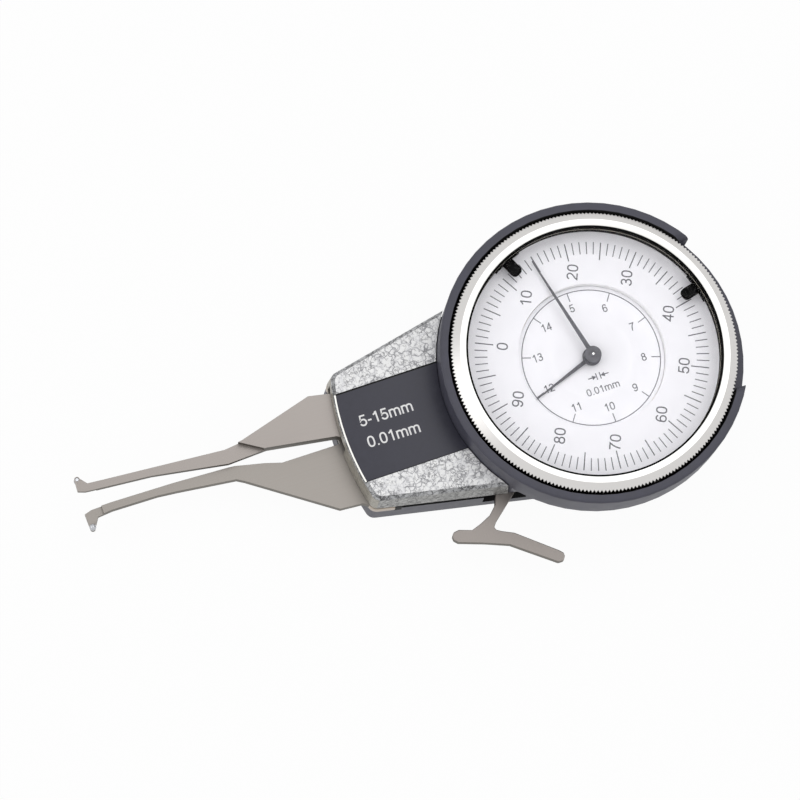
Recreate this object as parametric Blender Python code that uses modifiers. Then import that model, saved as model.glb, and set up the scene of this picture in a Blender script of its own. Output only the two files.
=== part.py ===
"""Internal caliper gauge, 5 to 15 mm, read to 0.01 mm on a dial.

Frame: the dial axis is the Z axis, Z = 0 is the plane that the back rests on, the dial looks along +Z and the
measuring arms point along -X. The arms are drawn with the contacts 11.966 mm apart over their outer sides.
"""

import math

import bmesh
import bpy
from mathutils import Matrix, Vector

MM = 0.001

# Clearances
SEAT_GAP = 0.1 * MM
RUN_GAP = 0.3 * MM
FIT_GAP = 0.05 * MM
OVERRUN = 1.0 * MM
WELD = 0.001 * MM

# Roundness of turned pieces
COARSE, MEDIUM, FINE, FINEST = 12, 24, 48, 60

# Measuring geometry
OPENING_AT_REST = 11.966 * MM
OPENING_LEAST = 5.0 * MM
OPENING_MOST = 15.0 * MM
MM_PER_TURN = 1.0 * MM
FIRST_ARBOR_X = 9.8 * MM
SECTOR_TEETH, FIRST_PINION_TEETH = 336, 14
FIRST_WHEEL_TEETH, SECOND_PINION_TEETH = 60, 12
SECOND_WHEEL_TEETH, CENTRE_PINION_TEETH = 44, 12
HOUR_PINION_TEETH, HOUR_WHEEL_TEETH = 11, 30
TAKE_UP_TEETH = 48
TRAIN_RATIO = (
    SECTOR_TEETH / FIRST_PINION_TEETH * FIRST_WHEEL_TEETH / SECOND_PINION_TEETH
    * SECOND_WHEEL_TEETH / CENTRE_PINION_TEETH
)
TIP_REACH = MM_PER_TURN * TRAIN_RATIO / (2 * math.pi)
CLOSING_ANGLE = (OPENING_AT_REST - OPENING_LEAST) / TIP_REACH
OPENING_ANGLE = (OPENING_MOST - OPENING_AT_REST) / TIP_REACH

# Round case
CASE_LIFT = 0.4 * MM
DRUM_RADIUS = 29.5 * MM
DRUM_WALL = 2.2 * MM
DRUM_CHAMFER = 0.8 * MM
SHELF_THICK = 1.2 * MM
SHELF_WIDTH = 6.3 * MM
RIM_OVERHANG = 3.7 * MM
RIM_WALL = 1.8 * MM
RIM_ROUNDING = 0.6 * MM
RIM_TOP = 22.2 * MM
LEDGE_LEVEL = 16.4 * MM
LEDGE_THICK = 2.4 * MM
FLARE_DROP = 1.8 * MM
COLLAR_WALL = 1.3 * MM
COLLAR_RISE = 1.0 * MM
NOTCH_HALF_ANGLE = math.radians(31)
NOTCH_DROP = 0.4 * MM
NOTCH_ROUNDING = 2.0 * MM

# Back cover and its screws
BACK_COVER_STEP = 2.2 * MM
BACK_COVER_THICK = 1.6 * MM
BACK_SCREW_INSET = 2.1 * MM
BACK_SCREW_ANGLES = tuple(math.radians(a) for a in (45, 135, 225, 315))
SMALL_SCREW_RADIUS = 0.6 * MM
SMALL_HEAD_RADIUS = 1.2 * MM
SMALL_HEAD_THICK = 0.6 * MM
HEAD_SINK = 0.1 * MM

# Wedge housing, plan sizes at the seam between base and front cover
WEDGE_NOSE = 14.6 * MM
WEDGE_GAUGE_SETBACK = 1.6 * MM
WEDGE_HALF_WIDTH = 14.74 * MM
WEDGE_SLOPE = 0.2126
WEDGE_CORNER = 2.0 * MM
WEDGE_REAR_X = 15.0 * MM
BASE_FLARE = 0.2 * MM
BASE_WALL = 2.0 * MM
BASE_WALL_TOP = 7.0 * MM
PAD_TOP = 6.6 * MM
PAD_LENGTH = 8.1 * MM
NECK_TOP = 14.2 * MM
NECK_GAP = 0.1 * MM
COVER_DRAFT = 0.43 * MM
COVER_BEVEL = 0.8 * MM
COVER_WALL = 1.8 * MM
COVER_TOP = 15.7 * MM
COVER_ROOF = 1.8 * MM
COVER_GAP = 0.2 * MM
COVER_SCREW_SETBACK = 10.6 * MM
COVER_SCREW_INSET = 3.4 * MM
COVER_BOSS_RADIUS = 2.3 * MM
COVER_SCREW_RADIUS = 0.9 * MM
COVER_HEAD_RADIUS = 1.8 * MM
COVER_HEAD_THICK = 1.2 * MM
COVER_SCREW_LENGTH = 11.5 * MM
LABEL_HALF_WIDTH = 9.97 * MM
LABEL_MARGIN = 0.7 * MM
LABEL_THICK = 0.4 * MM
LABEL_SINK = 0.2 * MM

# Layers of the arms, each above the one before
FIXED_ARM_THICK = 2.1 * MM
COVER_REVEAL = 0.2 * MM
STRIP_THICK = 1.5 * MM
PLATE_THICK = 3.2 * MM
LEVER_THICK = 1.8 * MM
FOOT_THIN = 1.2 * MM
MOVING_FOOT_THIN = 1.0 * MM

# Arm outlines: first the share of TIP_REACH out from the pivot, then the share of the width named with each
FIXED_HALF_WIDTH = 12.5 * MM
FIXED_TOP_SHARES = (
    (0.218, 0.079), (0.393, 0.086), (0.444, 0.174), (0.534, 0.291), (0.554, 0.302), (0.730, 0.349),
    (0.785, 0.356), (0.928, 0.372), (0.988, 0.364), (1.010, 0.328),
)
FIXED_LOW_SHARES = (
    (0.974, 0.216), (0.928, 0.240), (0.785, 0.224), (0.727, 0.191), (0.542, 0.060), (0.521, -0.010), (0.273, -0.998),
    (0.203, -1.030),
)
MOVING_TOP_SHARES = (
    (0.093, 0.719), (0.198, 0.960), (0.256, 1.029), (0.492, 0.647), (0.505, 0.637), (0.548, 0.609),
    (0.729, 0.693), (0.785, 0.719), (0.928, 0.790), (0.974, 0.815),
)
MOVING_LOW_SHARES = (
    (1.010, 0.727), (0.988, 0.681), (0.928, 0.648), (0.785, 0.577), (0.731, 0.525), (0.551, 0.346),
    (0.500, 0.357), (0.428, 0.376), (0.215, 0.174), (0.114, -0.159), (0.057, -0.376),
)
MOVING_STEP_SHARES = ((0.358, 0.097), (0.575, 0.898))
FOOT_START_SHARE = 0.955
CONTACT_RADIUS = 0.75 * MM
STEM_RADIUS = 0.35 * MM
FOOT_WALL = 0.2 * MM
BAR_INSET = 0.1 * MM
ARM_SCREW_Y = 9.0 * MM
ARM_SCREW_RADIUS = 0.9 * MM
ARM_HEAD_RADIUS = 1.7 * MM
ARM_HEAD_THICK = 0.9 * MM
ARM_SCREW_LENGTH = 3.8 * MM
DOWEL_Y = 4.5 * MM
DOWEL_RADIUS = 0.75 * MM
DOWEL_LENGTH = 4.5 * MM

# Pivot, tail and lever
HUB_RADIUS = 6.0 * MM
TAIL_SETBACK = 5.2 * MM
TAIL_HALF_WIDTH = 4.5 * MM
PIVOT_RADIUS = 1.5 * MM
BUSH_WALL = 0.7 * MM
PIVOT_BOSS_RADIUS = 4.0 * MM
PIVOT_WASHER_THICK = 0.4 * MM
PIVOT_FOOT = 1.2 * MM
PIVOT_TOP_GRIP = 1.6 * MM
LEVER_SETBACK = 4.0 * MM
LEVER_DEPTH = 38.5 * MM
LEVER_SHARES = (
    (0.522, -0.039), (0.522, 0.065), (0.683, 0.208), (0.743, 0.338), (0.709, 0.429), (0.587, 0.519), (0.544, 0.581),
    (0.465, 0.626), (0.360, 0.654), (0.262, 0.673), (0.142, 0.648), (0.091, 0.652), (0.066, 0.671), (0.067, 0.694),
    (0.100, 0.715), (0.335, 0.766), (0.548, 0.819), (0.922, 0.999), (0.970, 1.000), (0.995, 0.979), (0.996, 0.958),
    (0.962, 0.936), (0.627, 0.764), (0.517, 0.731), (0.474, 0.714), (0.467, 0.697), (0.497, 0.675), (0.667, 0.593),
    (0.752, 0.553), (0.857, 0.449), (0.961, 0.312), (0.983, 0.156), (0.974, 0.026), (0.913, -0.039),
)
NOTCH_FLOOR = 3.3 * MM
SLOT_SIDE_GAP = 0.5 * MM
LEVER_SLOT_SHARE = 0.67
RIVET_SETBACK = 3.7 * MM
RIVET_SPACING = 4.3 * MM
RIVET_RADIUS = 1.0 * MM
RIVET_HEAD_RADIUS = 1.5 * MM
RIVET_HEAD_THICK = 0.35 * MM

# Return spring along Y between the tail and a post
SPRING_REACH = 9.0 * MM
SPRING_MEAN_RADIUS = 1.3 * MM
SPRING_WIRE_RADIUS = 0.2 * MM
SPRING_TURNS = 6
SPRING_LENGTH = 8.2 * MM
POST_NUB_RADIUS = 0.8 * MM
POST_NUB_LENGTH = 1.4 * MM
POST_COLLAR_RADIUS = 1.7 * MM
POST_COLLAR_THICK = 0.7 * MM
POST_SHANK_RADIUS = 0.7 * MM
POST_SHANK_LENGTH = 1.8 * MM
RIB_WIDTH = 5.0 * MM
RIB_THICK = 2.2 * MM
RIB_RISE = 1.9 * MM

# Gears
MODULE = 0.2 * MM
PRESSURE_ANGLE = math.radians(25)
ADDENDUM_SHARE, DEDENDUM_SHARE = 0.8, 1.05
BACKLASH = 0.03 * MM
WHEEL_THICK = 0.6 * MM
PINION_MARGIN = 0.2 * MM
ARBOR_RADIUS = 0.5 * MM
PIVOT_END_RADIUS = 0.3 * MM
PIVOT_END_LENGTH = 1.2 * MM
SECTOR_THICK = 1.0 * MM
SECTOR_LAP = 5.0 * MM
SECTOR_RING = 2.9 * MM
SECTOR_ARM_ANGLE = math.radians(4)
WINDOW_SPARE_ANGLE = math.radians(4.5)
WINDOW_STEP = 0.4 * MM
SECTOR_SCREW_SETBACK = 2.5 * MM
SECTOR_SCREW_Y = 3.2 * MM
SECTOR_SCREW_LENGTH = 2.2 * MM
TAKE_UP_ANGLE = math.radians(-55)
HAIR_TURNS = 3
HAIR_THICK = 0.15 * MM
HAIR_WIDTH = 0.8 * MM
HAIR_INNER_RADIUS = 0.8 * MM
HAIR_OUTER_RADIUS = 5.2 * MM
HAIR_RISE = 0.8 * MM
STUD_RADIUS = 0.5 * MM

# Movement plates and pillars
BASE_PLATE_THICK = 1.5 * MM
TOP_PLATE_THICK = 0.8 * MM
SECOND_WHEEL_RISE = 1.7 * MM
FIRST_WHEEL_STEP = 0.5 * MM
HOUR_WHEEL_STEP = 0.8 * MM
HOUR_PIPE_WALL = 0.5 * MM
HOUR_PIPE_GAP = 0.15 * MM
PILLAR_RADIUS = 1.5 * MM
PILLAR_INSET = 3.0 * MM
PILLAR_ANGLES = tuple(math.radians(a) for a in (50, 130, 230, 310))
PILLAR_SPIGOT_RADIUS = 0.8 * MM
PILLAR_SPIGOT_LENGTH = 1.2 * MM
PILLAR_SCREW_LENGTH = 2.2 * MM

# Dials, bezel and window
DIAL_LEVEL = 16.5 * MM
DIAL_THICK = 0.5 * MM
INNER_DIAL_RADIUS = 15.7 * MM
DIAL_RING_LEVEL = 18.1 * MM
DIAL_RING_GAP = 0.25 * MM
BEZEL_BOTTOM = 17.0 * MM
BEZEL_SIDE_GAP = 0.5 * MM
BEZEL_SKIRT_WALL = 2.0 * MM
BEZEL_WALL = 3.3 * MM
BEZEL_LIP_LEVEL = 23.1 * MM
BEZEL_SLOPE_WIDTH = 1.95 * MM
BEZEL_CREST_LEVEL = 23.3 * MM
BEZEL_EDGE_LEVEL = 21.9 * MM
BEZEL_EDGE_BREAK = 0.2 * MM
BEZEL_SPRING_THICK = 0.4 * MM
BEZEL_SPRING_WIDTH = 1.2 * MM
BEZEL_SPRING_GAP_ANGLE = math.radians(8)
GASKET_WIDTH = 0.6 * MM
GASKET_HEIGHT = 1.4 * MM
GASKET_LEVEL = 22.6 * MM
CRYSTAL_THICK = 0.8 * MM
CRYSTAL_DROP = 0.2 * MM
MARKER_ANGLES = {"limit_marker_low": math.radians(113.4), "limit_marker_high": math.radians(13.8)}
MARKER_BOTTOM = 20.3 * MM
MARKER_THICK = 0.6 * MM
MARKER_WIDTH = 2.6 * MM
MARKER_LENGTH = 3.7 * MM
MARKER_CLIP_WALL = 0.5 * MM
MARKER_CLIP_ANGLE = math.radians(7)
MARKER_CLIP_DROP = 0.8 * MM

# Hands
LONG_HAND_MARGIN = 3.1 * MM
LONG_HAND_WIDTH = 1.1 * MM
LONG_HAND_LEVEL = 18.8 * MM
LONG_HUB_RADIUS = 1.95 * MM
LONG_HUB_THICK = 1.0 * MM
SHORT_HAND_MARGIN = 0.3 * MM
SHORT_HAND_WIDTH = 1.2 * MM
SHORT_HAND_LEVEL = 16.9 * MM
SHORT_HUB_RADIUS = 2.0 * MM
SHORT_HUB_THICK = 0.6 * MM
HAND_THICK = 0.3 * MM
HAND_TIP_SHARE = 0.3
LONG_HAND_ANGLE = math.radians(102.3)
SHORT_HAND_ANGLE = math.radians(-160.9)

# Levels and places that follow from the sizes above
RIM_RADIUS = DRUM_RADIUS + RIM_OVERHANG
PIVOT_X = FIRST_ARBOR_X + MODULE * (SECTOR_TEETH - FIRST_PINION_TEETH) / 2
WEDGE_FRONT_RADIUS = PIVOT_X + WEDGE_NOSE
WEDGE_GAUGE_X = WEDGE_FRONT_RADIUS - WEDGE_GAUGE_SETBACK
COVER_SCREW_X = WEDGE_FRONT_RADIUS - COVER_SCREW_SETBACK
LABEL_FRONT_RADIUS = WEDGE_FRONT_RADIUS - LABEL_MARGIN
ARM_SCREW_X = WEDGE_FRONT_RADIUS - PAD_LENGTH / 2
SPRING_X = PIVOT_X - SPRING_REACH
TAIL_REACH = PIVOT_X - FIRST_ARBOR_X - TAIL_SETBACK
SECTOR_INNER = TAIL_REACH - SECTOR_LAP
SECTOR_SCREW_REACH = TAIL_REACH - SECTOR_SCREW_SETBACK
LEVER_REACH = TAIL_REACH - LEVER_SETBACK
LEVER_SLOT_X = PIVOT_X - LEVER_SLOT_SHARE * LEVER_REACH
SHELF_BOTTOM = BACK_COVER_THICK + SEAT_GAP
SHELF_TOP = SHELF_BOTTOM + SHELF_THICK
SHELF_HOLE = DRUM_RADIUS - DRUM_WALL - SHELF_WIDTH
CAVITY_RADIUS = DRUM_RADIUS - DRUM_WALL
BACK_COVER_RADIUS = CAVITY_RADIUS - BACK_COVER_STEP
BACK_SCREW_CIRCLE = BACK_COVER_RADIUS - BACK_SCREW_INSET
BASE_PLATE_BOTTOM = SHELF_TOP + SEAT_GAP
BASE_PLATE_TOP = BASE_PLATE_BOTTOM + BASE_PLATE_THICK
TOP_PLATE_TOP = DIAL_LEVEL - DIAL_THICK - RUN_GAP
TOP_PLATE_BOTTOM = TOP_PLATE_TOP - TOP_PLATE_THICK
PLATE_RADIUS = CAVITY_RADIUS - RUN_GAP
PILLAR_CIRCLE = PLATE_RADIUS - PILLAR_INSET
RIM_INNER = RIM_RADIUS - RIM_WALL
BEZEL_RADIUS = RIM_INNER - BEZEL_SIDE_GAP
BEZEL_SKIRT_INNER = BEZEL_RADIUS - BEZEL_SKIRT_WALL
BEZEL_BORE_RADIUS = BEZEL_RADIUS - BEZEL_WALL
BEZEL_CREST_RADIUS = BEZEL_RADIUS - BEZEL_SLOPE_WIDTH
DIAL_RING_RADIUS = BEZEL_SKIRT_INNER - 2 * SEAT_GAP
LONG_HAND_LENGTH = BEZEL_BORE_RADIUS - LONG_HAND_MARGIN
SHORT_HAND_LENGTH = INNER_DIAL_RADIUS - SHORT_HAND_MARGIN
COLLAR_RADIUS = CAVITY_RADIUS + COLLAR_WALL
FLANGE_BOTTOM = LEDGE_LEVEL - LEDGE_THICK
FIXED_ARM_BOTTOM = PAD_TOP + SEAT_GAP
FIXED_ARM_TOP = FIXED_ARM_BOTTOM + FIXED_ARM_THICK
COVER_BOTTOM = FIXED_ARM_TOP + COVER_REVEAL
MOVING_BOTTOM = FIXED_ARM_TOP + RUN_GAP
MOVING_STRIP_TOP = MOVING_BOTTOM + STRIP_THICK
MOVING_PLATE_TOP = MOVING_BOTTOM + PLATE_THICK
LEVER_TOP = MOVING_BOTTOM - RUN_GAP
LEVER_BOTTOM = LEVER_TOP - LEVER_THICK
LABEL_TOP = COVER_TOP - LABEL_SINK
LABEL_FLOOR = LABEL_TOP - LABEL_THICK - SEAT_GAP
ROOF_UNDERSIDE = COVER_TOP - COVER_ROOF
SECTOR_BOTTOM = MOVING_STRIP_TOP + SEAT_GAP
SECTOR_TOP = SECTOR_BOTTOM + SECTOR_THICK
CAVITY_TOP = SECTOR_TOP + SEAT_GAP + SMALL_HEAD_THICK + 2 * RUN_GAP
FIRST_WHEEL_BOTTOM = SECTOR_TOP + RUN_GAP + FIRST_WHEEL_STEP
HOUR_WHEEL_BOTTOM = FIRST_WHEEL_BOTTOM + WHEEL_THICK + HOUR_WHEEL_STEP
SECOND_WHEEL_BOTTOM = BASE_PLATE_TOP + SECOND_WHEEL_RISE
PIVOT = Vector((-PIVOT_X, 0, 0))
CONTACT_X = -PIVOT_X - TIP_REACH
CONTACT_LEVEL = (FIXED_ARM_TOP - FIXED_ARM_THICK + FOOT_THIN + MOVING_STRIP_TOP - MOVING_FOOT_THIN) / 2
CENTRE_DISTANCE = MODULE * (SECOND_WHEEL_TEETH + CENTRE_PINION_TEETH) / 2
HOUR_MODULE = 2 * CENTRE_DISTANCE / (HOUR_PINION_TEETH + HOUR_WHEEL_TEETH)
SECTOR_PITCH_RADIUS = MODULE * SECTOR_TEETH / 2
A1 = Vector((-FIRST_ARBOR_X, 0, 0))
SECOND_DISTANCE = MODULE * (FIRST_WHEEL_TEETH + SECOND_PINION_TEETH) / 2
A2_X = (FIRST_ARBOR_X ** 2 + CENTRE_DISTANCE ** 2 - SECOND_DISTANCE ** 2) / (2 * FIRST_ARBOR_X)
A2 = Vector((-A2_X, math.sqrt(CENTRE_DISTANCE ** 2 - A2_X ** 2), 0))
TAKE_UP_DISTANCE = MODULE * (TAKE_UP_TEETH + CENTRE_PINION_TEETH) / 2
A3 = Vector((math.cos(TAKE_UP_ANGLE), math.sin(TAKE_UP_ANGLE), 0)) * TAKE_UP_DISTANCE
HOUR_PIPE_BORE = ARBOR_RADIUS + HOUR_PIPE_GAP
HOUR_PIPE_RADIUS = HOUR_PIPE_BORE + HOUR_PIPE_WALL

# Looks: colour, roughness, metallic
LOOKS = {
    "cast_body": ((0.082, 0.080, 0.095), 0.55, 0.0),
    "hammer_silver": ((0.52, 0.53, 0.55), 0.35, 0.7),
    "label_grey": ((0.070, 0.068, 0.082), 0.5, 0.0),
    "satin_steel": ((0.36, 0.34, 0.32), 0.4, 0.9),
    "turned_silver": ((0.78, 0.78, 0.80), 0.25, 0.9),
    "glass_clear": ((0.95, 0.97, 1.0), 0.02, 0.0),
    "seal_black": ((0.01, 0.01, 0.01), 0.6, 0.0),
    "dial_white": ((0.86, 0.86, 0.91), 0.5, 0.0),
    "hand_grey": ((0.09, 0.09, 0.10), 0.4, 0.3),
    "hard_metal": ((0.30, 0.30, 0.33), 0.15, 1.0),
    "brass": ((0.62, 0.45, 0.18), 0.35, 1.0),
    "spring_steel": ((0.25, 0.27, 0.32), 0.3, 1.0),
}


def collection(name):
    """Return the collection of this name, made when it isn't there."""
    found = bpy.data.collections.get(name)
    if found is None:
        found = bpy.data.collections.new(name)
        bpy.context.scene.collection.children.link(found)
    return found


def material(look):
    """Return the material of a look from LOOKS."""
    found = bpy.data.materials.get(look)
    if found is None:
        colour, roughness, metallic = LOOKS[look]
        found = bpy.data.materials.new(look)
        found.use_nodes = True
        shader = found.node_tree.nodes["Principled BSDF"]
        shader.inputs["Base Color"].default_value = (*colour, 1)
        shader.inputs["Roughness"].default_value = roughness
        shader.inputs["Metallic"].default_value = metallic
        found.diffuse_color = (*colour, 1)
    return found


def place(name, mesh, look, at=(0, 0, 0), turn=(0, 0, 0), axis=None):
    """Put a mesh in the scene: a part when it has a look, else a cutter. An axis is the empty that carries it."""
    obj = bpy.data.objects.new(name, mesh)
    obj.location = Vector(at) - (axis.location if axis else Vector())
    obj.rotation_euler = turn
    obj.parent = axis
    if look is None:
        obj.hide_render = True
        obj.display_type = "WIRE"
        collection("cutters").objects.link(obj)
    else:
        mesh.materials.append(material(look))
        collection("internal_caliper_gauge").objects.link(obj)
    return obj


def joint_axis(name, at):
    """Make the empty that a moving group turns on."""
    empty = bpy.data.objects.new(name, None)
    empty.location = at
    collection("internal_caliper_gauge").objects.link(empty)
    return empty


def turned(name, profile, look, steps=FINE, **where):
    """Turn a profile of (radius, height) points about Z. It runs down the outer side; a ring's profile closes."""
    ring = profile[0][0] > 0 or profile[-1][0] > 0
    mesh = bpy.data.meshes.new(name)
    edges = [(i, i + 1) for i in range(len(profile) - 1)]
    if ring:
        edges.append((len(profile) - 1, 0))
    mesh.from_pydata([(r, 0, z) for r, z in profile], edges, [])
    obj = place(name, mesh, look, **where)
    screw = obj.modifiers.new("turn", "SCREW")
    screw.axis = "Z"
    screw.angle = 2 * math.pi
    screw.steps = steps
    screw.render_steps = steps
    screw.use_merge_vertices = True
    screw.merge_threshold = WELD
    screw.use_smooth_shade = True
    return obj


def cylinder(name, radius, bottom, top, look, centre=(0, 0), steps=MEDIUM, tip_radius=None, **where):
    """Make an upright round bar between two levels."""
    mesh = bpy.data.meshes.new(name)
    shape = bmesh.new()
    bmesh.ops.create_cone(
        shape, cap_ends=True, segments=steps, radius1=radius, radius2=radius if tip_radius is None else tip_radius,
        depth=top - bottom, matrix=Matrix.Translation((0, 0, (bottom + top) / 2)),
    )
    shape.to_mesh(mesh)
    shape.free()
    return place(name, mesh, look, at=(centre[0], centre[1], 0), **where)


def box(name, low, high, look=None, **where):
    """Make a box between two opposite corners."""
    mesh = bpy.data.meshes.new(name)
    shape = bmesh.new()
    size = Vector(high) - Vector(low)
    middle = (Vector(high) + Vector(low)) / 2
    bmesh.ops.create_cube(shape, size=1, matrix=Matrix.Translation(middle) @ Matrix.Diagonal((*size, 1)))
    shape.to_mesh(mesh)
    shape.free()
    return place(name, mesh, look, **where)


def curve_mesh(name, splines, closed, **settings):
    """Turn POLY splines into a welded mesh."""
    curve = bpy.data.curves.new(name, "CURVE")
    for key, value in settings.items():
        setattr(curve, key, value)
    for points in splines:
        spline = curve.splines.new("POLY")
        spline.points.add(len(points) - 1)
        for point, co in zip(spline.points, points):
            point.co = (*co, 0, 1) if len(co) == 2 else (*co, 1)
        spline.use_cyclic_u = closed
    guide = bpy.data.objects.new(name, curve)
    bpy.context.scene.collection.objects.link(guide)
    depsgraph = bpy.context.evaluated_depsgraph_get()
    mesh = bpy.data.meshes.new_from_object(guide.evaluated_get(depsgraph))
    mesh.name = name
    bpy.data.objects.remove(guide)
    bpy.data.curves.remove(curve)
    shape = bmesh.new()
    shape.from_mesh(mesh)
    bmesh.ops.remove_doubles(shape, verts=shape.verts, dist=WELD)
    shape.to_mesh(mesh)
    shape.free()
    return mesh


def plate(name, outline, bottom, top, look, holes=(), at=(0, 0), **where):
    """Cut a flat plate between two levels from an outline, with holes as further outlines."""
    mesh = curve_mesh(
        name, [outline, *holes], True, dimensions="2D", fill_mode="BOTH", extrude=(top - bottom) / 2,
    )
    for vertex in mesh.vertices:
        vertex.co.z += (top + bottom) / 2
    return place(name, mesh, look, at=(at[0], at[1], 0), **where)


def loft(name, layers, look=None, **where):
    """Join outlines of as many points, one above the other, into a closed body."""
    mesh = bpy.data.meshes.new(name)
    shape = bmesh.new()
    rings = [[shape.verts.new((x, y, z)) for x, y in outline] for outline, z in layers]
    count = len(rings[0])
    for lower, upper in zip(rings, rings[1:]):
        for i in range(count):
            j = (i + 1) % count
            shape.faces.new((lower[i], lower[j], upper[j], upper[i]))
    shape.faces.new(list(reversed(rings[0])))
    shape.faces.new(rings[-1])
    bmesh.ops.recalc_face_normals(shape, faces=shape.faces)
    shape.to_mesh(mesh)
    shape.free()
    return place(name, mesh, look, **where)


def boolean(obj, tool, operation):
    """Add a Boolean with a cutter to a piece."""
    step = obj.modifiers.new(tool.name, "BOOLEAN")
    step.operation = operation
    step.object = tool
    step.solver = "EXACT"


def cut(obj, *tools):
    """Cut each tool from a piece."""
    for tool in tools:
        boolean(obj, tool, "DIFFERENCE")


def join(obj, *tools):
    """Fuse each tool with a piece."""
    for tool in tools:
        boolean(obj, tool, "UNION")


def arc(radius, start, end, steps, centre=(0, 0)):
    """Return points on an arc, both ends included."""
    angles = [start + (end - start) * i / steps for i in range(steps + 1)]
    return [(centre[0] + radius * math.cos(a), centre[1] + radius * math.sin(a)) for a in angles]


def circle(radius, steps=COARSE, centre=(0, 0)):
    """Return points round a circle."""
    return arc(radius, 0, 2 * math.pi * (steps - 1) / steps, steps - 1, centre)


def polar(radius, angle):
    """Return the point at a radius and an angle."""
    return Vector((radius * math.cos(angle), radius * math.sin(angle), 0))


def rotated(points, angle, centre):
    """Return points turned about a centre."""
    c, s = math.cos(angle), math.sin(angle)
    return [
        (centre[0] + c * (x - centre[0]) - s * (y - centre[1]), centre[1] + s * (x - centre[0]) + c * (y - centre[1]))
        for x, y in points
    ]


def swept_span(outline, across, low, high):
    """Return the least and most reach of an outline inside a band, over the arm's whole travel.

    The band lies between low and high along X when across is 1, and along Y when across is 0.
    """
    along = 1 - across
    found = []
    for angle in (-OPENING_ANGLE, 0, CLOSING_ANGLE):
        points = rotated(outline, angle, PIVOT)
        for p, q in zip(points, points[1:] + points[:1]):
            for i in range(COARSE + 1):
                at = [a + (b - a) * i / COARSE for a, b in zip(p, q)]
                if low <= at[along] <= high:
                    found.append(at[across])
    return min(found), max(found)


def wedge_half_width(x, inset):
    """Return the half width of the wedge housing at a distance in front of the dial axis."""
    return WEDGE_HALF_WIDTH + (WEDGE_GAUGE_X - x) * WEDGE_SLOPE - inset * math.sqrt(1 + WEDGE_SLOPE ** 2)


def wedge_outline(inset, rear=WEDGE_REAR_X):
    """Return the wedge's outline, moved inward by an inset: two sloping sides and a front arc with round corners."""
    radius = WEDGE_FRONT_RADIUS - inset
    corner = WEDGE_CORNER
    side = math.atan(WEDGE_SLOPE)
    low, high = 0.0, radius
    for _ in range(60):
        reach = (low + high) / 2
        width = wedge_half_width(reach, inset + corner)
        low, high = (reach, high) if math.hypot(reach, width) < radius - corner else (low, reach)
    middle = (-reach, width)
    bearing = math.atan2(width, -reach)
    half = [(-rear, wedge_half_width(rear, inset))]
    half += arc(corner, math.pi / 2 + side, bearing, 5, middle)
    front = arc(radius, bearing, 2 * math.pi - bearing, 14)[1:-1]
    return half + front + [(x, -y) for x, y in reversed(half)]


def involute(angle):
    """Return the involute function of an angle."""
    return math.tan(angle) - angle


def gear_outline(teeth, module, phase, flank_steps):
    """Return the outline of a spur wheel with a tooth centred on the phase angle."""
    pitch = module * teeth / 2
    base = pitch * math.cos(PRESSURE_ANGLE)
    tip = pitch + module * ADDENDUM_SHARE
    root = pitch - module * DEDENDUM_SHARE
    at_pitch = math.pi / (2 * teeth) - BACKLASH / (2 * pitch)
    points = []
    for k in range(teeth):
        middle = phase + 2 * math.pi * k / teeth
        flank = []
        for i in range(flank_steps + 1):
            radius = max(root, base) + (tip - max(root, base)) * i / flank_steps
            half = at_pitch + involute(PRESSURE_ANGLE) - involute(math.acos(min(1, base / radius)))
            flank.append((radius, half))
        if root < base:
            flank.insert(0, (root, flank[0][1]))
        points += [(r * math.cos(middle - h), r * math.sin(middle - h)) for r, h in flank]
        points += [(r * math.cos(middle + h), r * math.sin(middle + h)) for r, h in reversed(flank)]
    return points


def mating_phase(phase, teeth, module, bearing, mate_teeth):
    """Return the phase of a wheel that meshes with another, at a bearing from the other's centre."""
    pitch_arc = math.pi * module
    offset = (bearing - phase) * module * teeth / 2
    return bearing + math.pi + (offset + pitch_arc / 2) / (module * mate_teeth / 2)


def screw(name, at, head_face, length, radius, head_radius, head_thick, look, down=True, axis=None):
    """Make a screw with a flat head. Its head's outer face lies at a level, and it points down or up."""
    profile = [
        (0, 0), (head_radius, 0), (head_radius, -head_thick), (radius, -head_thick), (radius, -length), (0, -length),
    ]
    turn = (0, 0, 0) if down else (math.pi, 0, 0)
    return turned(name, profile, look, steps=COARSE, at=(at[0], at[1], head_face), turn=turn, axis=axis)


def hand_outline(length, width, angle, hub):
    """Return the outline of a tapered hand from its hub's centre."""
    tip = width * HAND_TIP_SHARE
    points = [(0, -width / 2), (length - tip, -tip / 2), (length, 0), (length - tip, tip / 2), (0, width / 2)]
    points += [(-hub / 2, width / 2), (-hub / 2, -width / 2)]
    return rotated(points, angle, (0, 0))


def shaped(shares, length, width, sign=1):
    """Turn a table of shares into points in front of the pivot."""
    return [(PIVOT.x - u * length, sign * v * width) for u, v in shares]


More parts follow.
